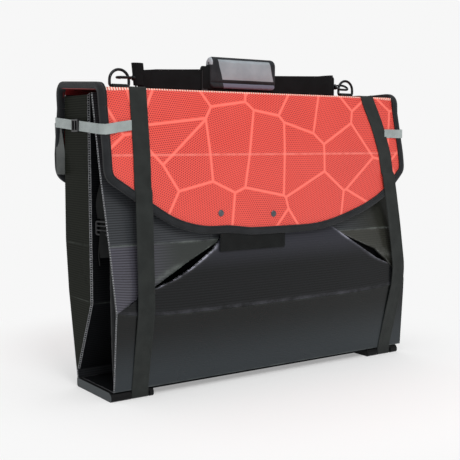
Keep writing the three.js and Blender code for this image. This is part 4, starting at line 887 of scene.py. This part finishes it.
# The end loop leaves the front flap, turns a round corner on to the top panel's end, and goes down the back flap
def buildEndLoop(name):
    end, join, top, r = endOf[name], binding["join"], binding["loopTop"], binding["round"]
    y0, y1 = (sideOf[which] * (reachOf[which](join) - flap["wall"] / 2) for which in ("front", "back"))
    turn = np.linspace(0, math.pi / 2, 13)[1:]
    front = spread(y0 + r - r * np.cos(turn), top - r + r * np.sin(turn))
    back = spread(y1 - r + r * np.sin(turn), top - r + r * np.cos(turn))
    line = smoothPath(np.vstack([[(y0, join), (y0, top - r)], front, [(y1 - r, top)], back, [(y1, join)]]), 3.0, 5.0)
    y, z = line.T
    x = end * np.interp(z, (join, flap["top"]), (flap["joinHalf"], flap["topHalf"] + 1)) + lean(z)
    path, out = stoodUp(line, x)
    path[:, 2] += between(z, join, join + 30) * topRise(x, y)
    inward = np.tile([-float(end), 0, 0], (len(path), 1))
    grow = between(z, join, top - 12) ** 1.4
    thick = binding["thick"] + (binding["endThick"] - binding["thick"]) * grow
    first, last = int(np.argmax(y > y0 + r + 4)), int(np.argmax(y > y1 - r - 4))
    for part, cut in (("front", slice(0, first + 1)), ("top", slice(first, last + 1)), ("back", slice(last, None))):
        grids = (path[cut], inward[cut], out[cut], thick[cut])
        if part == "top":
            bindingPiece(f"binding_loop_{name}_top", *grids, "root", ["binding_top_" + name])
        else:
            made = bindingPiece(f"binding_loop_{name}_{part}", *grids, None)
            start, stop = ((0, y, z) for y, z in zip(binding["blend"][part], binding["blendZ"]))
            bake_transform(made)
            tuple(start)
            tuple(stop)


for key in sideOf:
    buildFlapBinding(key)
for key in endOf:
    buildEndLoop(key)
print("binding made")


# Straps: woven tape with a thick selvedge, carried along a path with its outward side kept
strap = {"wide": 38.0, "thick": 2.0, "foot": 18.0, "groove": 2.3, "lift": 0.3, "over": 3.8, "bend": (127.8, 172.0),
         "low": 1.3, "top": 612.6, "footDepth": {"front": 110.0, "back": 44.0}}
acrossOf = {"front": {
    "left": knotLine((18, -323), (212, -316), (482, -316), (590, -315), (612, -314)),
    "right": knotLine((18, 342), (212, 371), (311, 359), (482, 333), (545, 316), (600, 293), (612, 288)),
}}
acrossOf["back"] = {name: knotLine((18, float(acrossOf["front"][name](18.0))), (612, 306.0 * endOf[name]))
                    for name in endOf}


# Section of a tape: u across, v out, with a raised edge on both sides
def tapeSection(wide, thick):
    half = np.array([(0, 0.86), (0.5, 0.84), (0.88, 0.86), (0.93, 1.0), (0.97, 0.85), (1, 0.0)])
    return doubled(np.vstack([half[:0:-1] * [-1, 1], half]) * [wide / 2, thick / 2], 1)


def tapePiece(name, path, out, wide, thick, finish, body, replaces=None, slot="black_webbing"):
    along, out = tangents(path), np.broadcast_to(np.asarray(out, float), path.shape)
    out = unit(out - np.einsum("ij,ij->i", out, along)[:, None] * along)
    section = tapeSection(wide, thick)
    shape = carried(section, path, np.cross(along, out), out)
    return makePiece(name, shape, finish, body, slot, replaces, profileUv(section, path))


def strapPiece(name, path, out, body):
    return tapePiece(name, path, out, strap["wide"], strap["thick"], blackWeb, body)


# A run over the crease, down its flap, over the binding and straight to the foot; in front it bends over the chine
def buildStrapRun(name, which):
    sign, reach, place = sideOf[which], reachOf[which], acrossOf[which][name]
    slant = (flap["corner"] - flap["lip"]) / (flap["half"] - flap["turn"]) * strap["wide"] / 2
    lip = lipHeight(place(flap["lip"]), which)
    low, high, down, foot = lip - slant - 5, lip + slant + 18.8, strap["thick"] / 2, strap["foot"]
    crease, touch = reach(flap["top"]), strap["footDepth"][which] - strap["groove"] + down
    lift, over, top = strap["lift"] + down, strap["over"] + down, strap["top"] + down
    bend = (strap["bend"][0] + down, strap["bend"][1]) if which == "front" else (reach(low) + over, low - 1)
    above = (np.interp(foot + 8, (foot, bend[1]), (touch, bend[0])), foot + 8)
    knots = [(crease - 36, top), (crease, top)] + [(reach(z) + lift, z) for z in (600.0, flap["fold"], high + 5)]
    knots += [(reach(high) + over, high), (reach(low) + over, low), bend, above, (touch, foot), (touch, strap["low"])]
    line = smoothPath(knots, 3.0, 3.5)
    x = runningMean(place(np.clip(line[:, 1], foot, flap["top"])), 6)
    made = strapPiece(f"strap_{name}_{which}", *stoodUp(line, x, sign), None)
    sign * (reach(598.0) + 1) * mm
    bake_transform(made)


# Each strap: the two runs, the tape over the top that eases from one to the other, and the tape under the foot
def buildStraps():
    for name, ends in (("left", (-314, -307)), ("right", (289, 303))):
        buildStrapRun(name, "front")
        buildStrapRun(name, "back")
        y = np.linspace(-58.5, 51.5, 28)
        x = np.interp(y, (-58.5, -10), ends)
        strapPiece(f"strap_{name}_top", spread(x, y, 613.6 + topRise(x, y)), (0, 0, 1), "root")
        path = spread(acrossOf["front"][name](strap["foot"]), np.linspace(-106.8, 40.8, 28), strap["low"])
        strapPiece(f"strap_{name}_under", path, (0, 0, -1), "root")


buildStraps()
print("compression straps made")


# Side straps: light grey tape from each compression strap round the box end to a ladder lock
sideStrap = {"wide": 20.0, "thick": 1.5, "at": ((-109.5, 531.0), (115.5, 549.0)), "rise": {"left": 0.0, "right": -4.0},
             "swell": 8.0, "lockDrop": 24.0, "tail": (546.0, 440.0)}


# Along the flap, up on to its binding, round the corner and across the end; the left one swells up to its strap
def buildSideStrap(name, which):
    end, sign, down = endOf[name], sideOf[which], sideStrap["thick"] / 2
    height = knotLine(*((y, z + sideStrap["rise"][name]) for y, z in sideStrap["at"]))
    z0 = float(height(sign * 109.5))
    reach, beside = float(reachOf[which](z0 - 10)), abs(float(acrossOf[which][name](z0)))
    flat, proud, side = reach + 0.4 + down, reach + 3.9 + down, 400.7 + down
    line = smoothPath([(beside + 19.6, flat), (366, flat), (373, proud), (391, proud), (397.5, proud - 2.5),
                       (side, proud - 9), (side, 14.5)], 2.0, 2.4)
    y, run = sign * line[:, 1], tangents(line)
    rising = sideStrap["swell"] * between(line[:, 0], 392, 337) * ((name, which) == ("left", "front"))
    path = spread(end * line[:, 0] + (lean(z0) if end > 0 else 0), y, height(y) + rising)
    out = spread(-end * run[:, 1], sign * run[:, 0], 0)
    tapePiece(f"side_strap_{name}_{which}", path, out, sideStrap["wide"], sideStrap["thick"], greyWeb, which + "_flap",
              slot="grey_webbing")


# The right lock is the left one's shape at the right strap's height
def buildRightLock():
    source = nodes["side_lock_right"]
    mesh = source.data.copy()
    shift = (float(lean(sideStrap["at"][0][1])) * mm, 0, (sideStrap["rise"]["right"] - sideStrap["lockDrop"]) * mm)
    mesh.transform(Matrix.Translation(shift) @ source.matrix_world)
    mesh.name = "side_lock_right_low"
    piece = addObject(mesh.name, mesh)
    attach(piece, "side_lock_right")
    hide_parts("side_lock_right")
    dress(piece, moulded, 0.6)


# The loose tail hangs inside the back flap behind the end plate, turning edge-on toward its end; its colour is the grey
# webbing painted dark as shade
def buildTail():
    t = np.linspace(0, 1, 60)
    x, y = 3.0 * np.sin(t * math.pi) + 2.0 * t - 396.0, 100 - 7 * t ** 1.5 + 2 * np.sin(t * 5)
    turn = 0.25 + 1.1 * t ** 1.4
    out = spread(-np.cos(turn), -np.sin(turn), 0)
    tapePiece("side_strap_left_tail", spread(x, y, np.interp(t, (0, 1), sideStrap["tail"])), out, sideStrap["wide"],
              1.3, tailWebShaded, "back_flap", slot="grey_webbing")


for key in endOf:
    buildSideStrap(key, "front")
    buildSideStrap(key, "back")
buildRightLock()
buildTail()
print("side straps made")


# Closure tab, and the patch that holds it on the hull's face behind it: knots of (depth, height), softness, width,
# thickness, material, body and, for the patch, the node that it replaces
closure = {
    "closure_tab": ([(117.6, 321), (117.9, 306), (117.4, 281)], 2.5, 170.0, 3.0, innerWeb, "closure_tab"),
    "closure_patch_face": ([(113.3, 299), (115.1, 283)], 1.0, 158.0, 1.2, gearCloth, "root", ["closure_patch"]),
}
closureMiddle = -51

for name, (knots, soft, *rest) in closure.items():
    tapePiece(name, *stoodUp(smoothPath(knots, 1.5, soft), closureMiddle, -1), *rest)
print("closure made")


# Metal: wire shapes and turned parts. Hooks are drawn on a flat, with x outward from the swivel, then tilted.
ring = {"x": 306, "y": -3, "half": 22.0, "legTop": 631.8, "bar": 619.8, "corner": 6.0, "wire": 3.0,
        "keeper": (34, 1.7), "keeperRound": 4.4, "keeperZ": 615.7, "keeperEnds": (-24.5, -11, 5, 18.5)}
hook = {"x": 276, "y": -3, "z": 638, "tilt": {"left": 0.0, "right": -math.radians(35)}, "wire": 2.6, "arm": 2.9,
        "bend": (25, 9.5), "eye": (9.0, 44.0, 3.0, -12.8), "eyeWire": 2.0,
        "collar": [(-6, 3.0), (-6, 4.7), (-5.4, 5.5), (-3.2, 5.5), (-2.8, 5.0), (-2.4, 5.5), (-0.6, 5.5), (0, 4.6),
                   (0, 0.8)],
        "armPath": [[0, 0, 0], [1.2, -3.6, 0], [3.2, -7.4, 0], [4.3, -10.2, 0]],
        "gate": [(0, 0.9), (0, 1.5), (1.2, 1.9), (12.4, 1.9), (13.6, 1.5), (14.0, 0.6)],
        "heel": [(0, 0.6), (0, 1.9), (2.6, 1.9), (2.6, 0.6)],
        "tongue": [[4, -8.6, 0], [6, -8.6, 0], [8.4, -8.65, 0]],
        "post": [(-8.3, 0.5), (-8.3, 2.8), (-6.6, 2.2), (-1.5, 2.2)]}
rivet = {"profile": [(0, 6.8), (0.8, 6.8), (1.8, 5.6), (2.5, 3.6), (2.8, 1.2)],
         "at": {"left": (-134.0, 361.0), "right": (2.0, 354.0)}}


def metalPiece(name, shape, body, sharp=60):
    makePiece(name, shape, blackMetal, body, "black_metal", sharp=sharp)


# The ring is wire along half a circle, two legs and a bar with rounded corners. Its keeper is tape that runs along
# the strap, over the ring's bar and along the strap again.
def buildRing(name):
    x, half, r, bar = endOf[name] * ring["x"], ring["half"], ring["corner"], ring["bar"]
    turn, q = np.linspace(0, math.pi, 33), np.linspace(0, math.pi / 2, 9)
    arc = spread(half * np.cos(turn), ring["legTop"] + half * np.sin(turn))
    left = spread(-half + r - r * np.cos(q), bar + r - r * np.sin(q))
    line = np.vstack([arc, left, (left * [-1, 1])[::-1]])
    path = smoothPath(spread(x + line[:, 0], ring["y"], line[:, 1]), 1.6, closed=True)
    metalPiece("d_ring_" + name, wire(path, ring["wire"], (0, 1, 0), closed=True), "carry_handle", 80)
    turn, r = np.linspace(-0.5, math.pi + 0.5, 25), ring["keeperRound"]
    over = spread(ring["y"] - r * np.cos(turn), bar + r * np.sin(turn))
    ends = [(y, ring["keeperZ"]) for y in ring["keeperEnds"]]
    line = smoothPath(np.vstack([ends[:2], over, ends[2:]]), 1.0, 0.9)
    tapePiece("ring_keeper_" + name, *stoodUp(line, x), *ring["keeper"], blackWeb, "root")


# A hook is wire bent to a half circle, with a turned collar and an arm; its gate is a turned bar that closes it,
# and its eye is a rounded rectangle of wire with a turned post
def buildHook(name):
    end = endOf[name]

    def at(points, tilt=hook["tilt"][name]):
        (x, y, z), c, s = np.moveaxis(np.asarray(points, float), -1, 0), math.cos(tilt), math.sin(tilt)
        return spread(end * (hook["x"] + x), hook["y"] - y * c + z * s, hook["z"] + y * s + z * c)

    def flat(points):
        return at(points, 0.0)

    middle, axis = at([0, 0, 0]), (end, 0, 0)
    normal, (far, r), turn = at([0, 0, 1]) - middle, hook["bend"], np.linspace(math.pi / 2, -math.pi / 2, 25)
    arc = spread(far + r * np.cos(turn), r * np.sin(turn))
    line = smoothPath(np.vstack([[(-1.3, 0), (3, r / 2), (8, r)], arc, [(22, -r)]]), 1.0, 1.6)
    body = wire(at(spread(line[:, 0], line[:, 1], 0)), hook["wire"], normal)
    arm = wire(at(hook["armPath"]), hook["arm"], normal)
    metalPiece("hook_" + name, joined(body, lathe(hook["collar"], middle, axis), arm), "hook_" + name)
    gate = lathe(hook["gate"], at([7.6, -8.6, 0]), at([14.1, -0.9, 0]) - middle)
    heel = lathe(hook["heel"], at([4, -8.6, -1.3]), normal)
    metalPiece("gate_" + name, joined(gate, heel, wire(at(hook["tongue"]), 1.3, normal, 12)), "gate_" + name)
    wide, tall, corner, shift = hook["eye"]
    line = softRectangle(wide, tall, corner, 6)
    eye = wire(flat(spread(line[:, 0] + shift, 0, line[:, 1])), hook["eyeWire"], (0, 1, 0), 14, True)
    post = lathe(hook["post"], flat([0, 0, 0]), axis)
    metalPiece("hook_eye_" + name, joined(eye, post), "carry_handle")


# A domed head, turned about the flap's outward direction; its grey is a painted highlight
def buildRivet(name):
    x, z = rivet["at"][name]
    shape = lathe(rivet["profile"], (x, -(reachOf["front"](z) + 0.2), z), (0, -1, 0))
    makePiece("rivet_" + name, shape, rivetGlint, "front_flap", "black_metal", sharp=50)


for build in (buildRing, buildHook, buildRivet):
    for key in endOf:
        build(key)
print("rings and hooks made")


# Carry handle: webbing on edge, rolled into a slack loop round each hook's eye
handle = {"y": -3.0, "middle": 638.0, "wide": 38.0, "layer": 2.0, "bar": 260.5, "bulge": 7.6, "roll": 30.0,
          "low": 618.0, "eye": 4.5, "rise": ((-250, -105, 90, 235, 258), (0, 8, 2, 6, 6))}
roll = {"x": -261.0, "z": 646, "radius": 14.6, "layer": 1.35, "flat": 0.58, "lean": (-0.1, 0.0, 1.0),
        "tape": (46.0, 2.2)}
sleeve = {"x": (-107, -105, -79, -77), "end": 0.9, "section": (12.0, 50.0, 3.4, 5), "z": 645.5}


def webbingPiece(name, shape, uv, body="carry_handle", sharp=60):
    makePiece(name, shape, handleWeb, body, "black_webbing", uv=uv, sharp=sharp)


# Half gap between the two layers by distance from the bar: a slack teardrop that closes over the roll's length
def rollGap(away):
    t = between(away, 0, handle["roll"])
    return 1.15 + handle["bulge"] * np.sin(math.pi * np.clip(t * 0.9 + 0.1, 0, 1)) ** 1.2 * (1 - t) ** 0.35


# A closed loop of tape on edge: two layers a gap apart with a slow wave, from the low edge to an upper edge that
# dips in the middle and rises by the listed places
def buildWebbing():
    bar, way = handle["bar"], np.linspace(-handle["bar"], handle["bar"], 260)
    gap = rollGap(bar - np.abs(way))
    turn = np.linspace(-math.pi / 2, math.pi / 2, 11)[1:-1]
    cap = spread(bar + handle["eye"] * np.cos(turn), -gap[0] * np.sin(turn))
    line = np.vstack([spread(way, gap), cap, spread(way[::-1], -gap), -cap])
    line = smoothPath(line, 2.0, 2.2, closed=True)
    way = line[:, 0] / 250
    slack = (1 - way ** 2).clip(0)
    wave = 1.2 * np.sin(way * 7.0 + 0.6) * slack
    dip = 2.0 * slack - 2.5 * np.clip(np.abs(way) - 0.88, 0, 1) / 0.15 * np.sign(way)
    upper = handle["middle"] + handle["wide"] / 2 - dip + np.interp(line[:, 0], *handle["rise"])
    path = spread(line[:, 0], handle["y"] + line[:, 1] + wave, (upper + handle["low"]) / 2)
    along = tangents(path * [1, 1, 0], True)
    slant = 0.12 * between(np.abs(line[:, 0]), 225, 255) * np.where(way < 0, -1, 0)
    up, out = spread(slant, 0, (upper - handle["low"]) / handle["wide"]), spread(along[:, 1], -along[:, 0], 0)
    section = tapeSection(handle["wide"], handle["layer"])
    webbingPiece("shoulder_webbing", carried(section, path, up, out, True), profileUv(section, path)[:-2])


# At the left the webbing's end is wound round the eye as a short roll, a little tilted
def buildRoll():
    turn = np.linspace(0.4, 3.6 * math.pi, 90)
    r, flat = roll["radius"] - roll["layer"] * turn / math.pi, roll["flat"]
    path = spread(roll["x"] + r * np.cos(turn), handle["y"] + flat * r * np.sin(turn), roll["z"])
    section, side = tapeSection(*roll["tape"]), np.tile(roll["lean"], (len(turn), 1))
    shape = carried(section, path, side, spread(flat * np.cos(turn), np.sin(turn), 0))
    webbingPiece("webbing_roll", shape, profileUv(section, path))


# The slider's sleeve: webbing folded back through it just outside the pad
def buildSleeve():
    x = np.concatenate([[-107.0, -106.4, -105], np.linspace(-103, -79, 14), [-77.6, -77]])
    profile, path = softRectangle(*sleeve["section"]), spread(x, handle["y"], sleeve["z"])
    size = np.interp(x, sleeve["x"], (sleeve["end"], 1, 1, sleeve["end"]))
    shape = carried(profile, path, spread(0, size, 0), spread(0, 0, size))
    webbingPiece("slider_sleeve", shape, profileUv(profile, path), "strap_slider", 50)


buildWebbing()
buildRoll()
buildSleeve()
print("handle webbing made")


# Shoulder pad: a padded sheet wrapped over the webbing, with a sewn rim and a seam below its panel
pad = {"left": -90.0, "right": 86.0, "top": 691.5, "low": 624.0, "thick": 8.6, "gap": 5.0, "y": -3.0, "end": 4.0,
       "corner": 11.0, "seam": 636.0, "puff": 2.4, "middle": (3.5, 665), "puffHalf": (78, 28), "rimAt": 71, "tuck": 1.6}


# Rings along x: a U turned over, of front leg, bend and back leg. Half thickness = thick / 2, plus a crown
# puff (1 - u^4) (1 - v^4), less the seam's groove and the rim's, and falls to nothing round the edges.
def buildPad():
    across, ends = pad["right"] - pad["left"], 2.0 * (1 - np.cos(np.linspace(0.2, math.pi / 2, 5)))
    x = np.concatenate([[0], ends, np.linspace(3.5, across - 3.5, 90), across - ends[::-1], [across]]) + pad["left"]
    over = np.abs(x - (pad["left"] + pad["right"]) / 2) - (across / 2 - pad["corner"])
    cut = pad["corner"] * (1 - np.sqrt(1 - np.clip(over / pad["corner"], 0, 0.999) ** 2))[:, None]
    r, half, inside = (pad["gap"] + pad["thick"]) / 2, pad["thick"] / 2, 0.9
    leg = np.concatenate([[0], 1 - np.cos(np.linspace(0.15, math.pi / 2, 6)), np.linspace(1.5, 58, 44)]) / 58
    turn = np.linspace(0, math.pi, 15)[1:-1]
    tall = pad["top"] - r - half - pad["low"]

    def thinned(away):
        return np.sqrt(1 - (1 - np.clip(away / pad["end"], 0.02, 1)) ** 2)

    thin = thinned(np.minimum(x - pad["left"], pad["right"] - x)[:, None])
    from3 = x[:, None] - pad["middle"][0]

    def legOf(sign, share):
        z = pad["low"] + cut + share * (tall - pad["tuck"] * cut)
        slim = thinned(share * tall) * thin
        u, v = np.clip(from3 / pad["puffHalf"][0], -1, 1), np.clip((z - pad["middle"][1]) / pad["puffHalf"][1], -1, 1)
        crown = pad["puff"] * (1 - u ** 4) * (1 - v ** 4) - 2.2 * bell(z, pad["seam"], 1.5)
        outer = half * slim + (crown - 0.9 * bell(np.abs(from3), pad["rimAt"], 1.6)) * thin
        return np.broadcast_arrays(sign * r, z, sign, 0.0, outer, half * slim * inside)

    top, ny, nz = pad["low"] + cut + (tall - pad["tuck"] * cut), -np.cos(turn), np.sin(turn)
    bend = np.broadcast_arrays(r * ny, top + r * nz, ny, nz, half * thin, half * thin * inside)
    y, z, ny, nz, outer, inner = (np.hstack(three) for three in zip(legOf(-1, leg), bend, legOf(1, leg[::-1])))
    ringY = np.hstack([y + ny * outer, (y - ny * inner)[:, ::-1]]) + pad["y"]
    ringZ = np.hstack([z + nz * outer, (z - nz * inner)[:, ::-1]])
    n, m = ringY.shape
    faces, j = [gridQuads(n, m, False, True)], np.arange(m // 2 - 1)
    for row in (0, n - 1):
        quad = row * m + spread(j, j + 1, m - 2 - j, m - 1 - j)
        faces.append(quad if row else quad[:, ::-1])
    points = spread(x[:, None], ringY, ringZ).reshape(-1, 3)
    makePiece("shoulder_pad", (points, faces), padFace, "shoulder_pad", "pad_cloth", sharp=70)


buildPad()
print("shoulder pad made")


# Stored cushions: crowned slabs with sewn channels at some heights
cushions = {"seat_pad": ((-355, -61.5, 23.6), (-25, -35.5, 443.6), (110, 200, 290, 370)),
            "backrest_pad": ((-11, -61.5, 23.6), (309, -35.5, 323.6), (100, 180, 255))}


# Half thickness = full * (1 - u^6)^0.5 * (1 - v^6)^0.5, less a groove at each channel
def buildCushion(name, low, high, channels):
    (x, y, z), (wide, deep, tall) = np.add(low, high) / 2, np.subtract(high, low) / 2
    u, v = (np.sin(np.linspace(-1, 1, count) * math.pi / 2) for count in (61, 71))
    v = v[:, None]
    crown = np.sqrt(np.clip(1 - u ** 6, 0, 1) * np.clip(1 - v ** 6, 0, 1))
    z = z + tall * v * (1 - 0.02 * (1 - u ** 2) * v ** 2)
    thick = deep * crown * (1 - 0.35 * sum(bell(z, at, 4.5) for at in channels))
    x = x + wide * u * (1 - 0.02 * v ** 2)
    shape = slab(spread(x, y - thick, z), spread(x, y + thick, z))[0]
    makePiece(name, shape, gearCloth, "root", "gear_cloth", sharp=80)


for key, measures in cushions.items():
    buildCushion(key, *measures)
print("cushions made")


# The strap that hangs in the left end gap, with its two loose tails below the buckle: knots, width, turn
innerStrap = {
    "inner_strap": ([(-356, -49, 440), (-360, -49, 412), (-365.5, -49, 372), (-368.5, -49, 332)], 25, 0.2),
    "inner_strap_tail_front": ([(-370, -56, 330), (-374, -60, 316), (-376, -63, 300), (-374, -64, 280)], 20, 0.7),
    "inner_strap_tail_back": ([(-370.5, -42, 330), (-373, -41, 312), (-376, -40, 285), (-374, -41, 262)], 22, -0.4),
    "inner_strap_loop": ([(-364, -52, 436), (-374, -60, 414), (-377, -52, 384), (-371, -48, 356)], 22, 0.5),
}
innerBuckle = {"at": (-372.0, -49.0, 337.0), "turn": 0.3, "half": (16, 13), "wire": 2.0, "bar": 1.7,
               "bars": (-4.5, 4.5)}


# The buckle is a frame with two bars
def buildInnerStrap():
    for name, (knots, wide, turn) in innerStrap.items():
        out = (-math.cos(turn), -math.sin(turn), 0.0)
        tapePiece(name, smoothPath(knots, 3.0, 9.0), out, wide, 1.6, innerWeb, "root")
    c, s, (wide, tall) = math.cos(innerBuckle["turn"]), math.sin(innerBuckle["turn"]), innerBuckle["half"]
    flat, side, middle = (-c, -s, 0.0), np.array([s, -c, 0.0]), np.array(innerBuckle["at"])
    corners = np.array([(-wide, -tall), (-wide, tall), (wide, tall), (wide, -tall)], float)
    line = middle + corners[:, :1] * side + corners[:, 1:] * [0, 0, 1.0]
    parts = [wire(smoothPath(line, 2.0, 3.0, closed=True), innerBuckle["wire"], flat, 10, closed=True)]
    for up in innerBuckle["bars"]:
        bar = middle + np.linspace(1 - wide, wide - 1, 7)[:, None] * side + [0, 0, up]
        parts.append(wire(bar, innerBuckle["bar"], flat, 10))
    makePiece("inner_buckle_frame", joined(*parts), moulded, "root", "moulded_plastic", ["inner_buckle"])


buildInnerStrap()
print("inner strap made")


# CAD parts that keep their shape: material, edge rounding and nodes
for material, soft, *names in ((footPlastic, 1.2, "foot_left", "foot_right"),
                               (hullInside, 0.6, "bulkhead_bow", "bulkhead_stern"),
                               (moulded, 0.6, "side_lock_left", "strap_left_buckle", "strap_right_buckle"),
                               (moulded, 0.5, "strap_slider"), (moulded, 0.8, "footrest")):
    for name in names:
        dress(nodes[name], material, soft)


# Stage: a glowing pale floor that meets the sky, a sky that is bright behind the object and above it, dim elsewhere
stage = {"sky": 0.93, "glow": 0.33, "floor": 0.66, "dim": 0.2, "top": 0.95, "behind": (0.57, 0.82, 0.0),
         "near": (0.48, 0.85), "reach": 60.0, "aim": (0, 0, 0.35),
         "lamps": (("keyLamp", (-0.6, -3.0, 2.8), 1.6, 54), ("sideLamp", (-3.2, 0.4, 1.4), 1.6, 2))}


# Sky strength = dim, raised to sky within a wide cone about the direction behind the object, and to top overhead
def addSky():
    world = scene.world = bpy.data.worlds.new("studioSky")
    world.use_nodes = True
    sky = Steps(world.node_tree)
    way = sky.node("ShaderNodeTexCoord", {}, "Generated")
    toward = sky.node("ShaderNodeVectorMath", {0: way, 1: stage["behind"]}, "Value", operation="DOT_PRODUCT")
    high, strength = sky.parts(way)[2], stage["dim"]
    for source, low, full, value in ((high, 0.35, 0.8, stage["top"]), (high, 0.24, 0.14, stage["sky"]),
                                     (toward, 0.55, 0.85, stage["sky"])):
        share = sky.ramp(source, low, full)
        strength = sky.node("ShaderNodeMix", {0: share, 2: strength, 3: value}, data_type="FLOAT")
    color, power = world.node_tree.nodes["Background"].inputs[:2]
    sky.put(color, (1, 1, 1))
    sky.put(power, strength)


# Near the object the floor takes its shadow; farther out it is as bright as the sky, so no horizon shows
def addFloor():
    grey, reach = (stage["floor"],) * 3, stage["reach"]
    f = Finish("studioFloor", grey, 0.9, Specular_IOR_Level=0.0, Emission_Color=(1, 1, 1))
    x, y, _ = f.parts(f.place)
    near = f.ramp(f.math("SQRT", f.add(f.times(x, x), f.times(y, y))), *stage["near"], 1.0, 0.0)
    glow = f.less(stage["sky"], f.times(near, stage["sky"] - stage["glow"]))
    f.use(Base_Color=f.blend(near, (0, 0, 0), grey), Emission_Strength=glow)
    mesh = bpy.data.meshes.new("studioFloor")
    corners = [(-reach, -reach, 0), (reach, -reach, 0), (reach, reach, 0), (-reach, reach, 0)]
    mesh.from_pydata(corners, [], [(0, 1, 2, 3)])
    mesh.materials.append(f.material)
    addObject("studioFloor", mesh)


def addLamps():
    for name, place, size, power in stage["lamps"]:
        data = bpy.data.lights.new(name, "AREA")
        data.size, data.energy = size, power
        lamp = addObject(name, data)
        lamp.location, lamp.rotation_euler = place, aimed(Vector(stage["aim"]) - Vector(place))


addSky()
addFloor()
addLamps()
scene.view_settings.view_transform = "Standard"
print("stage made")
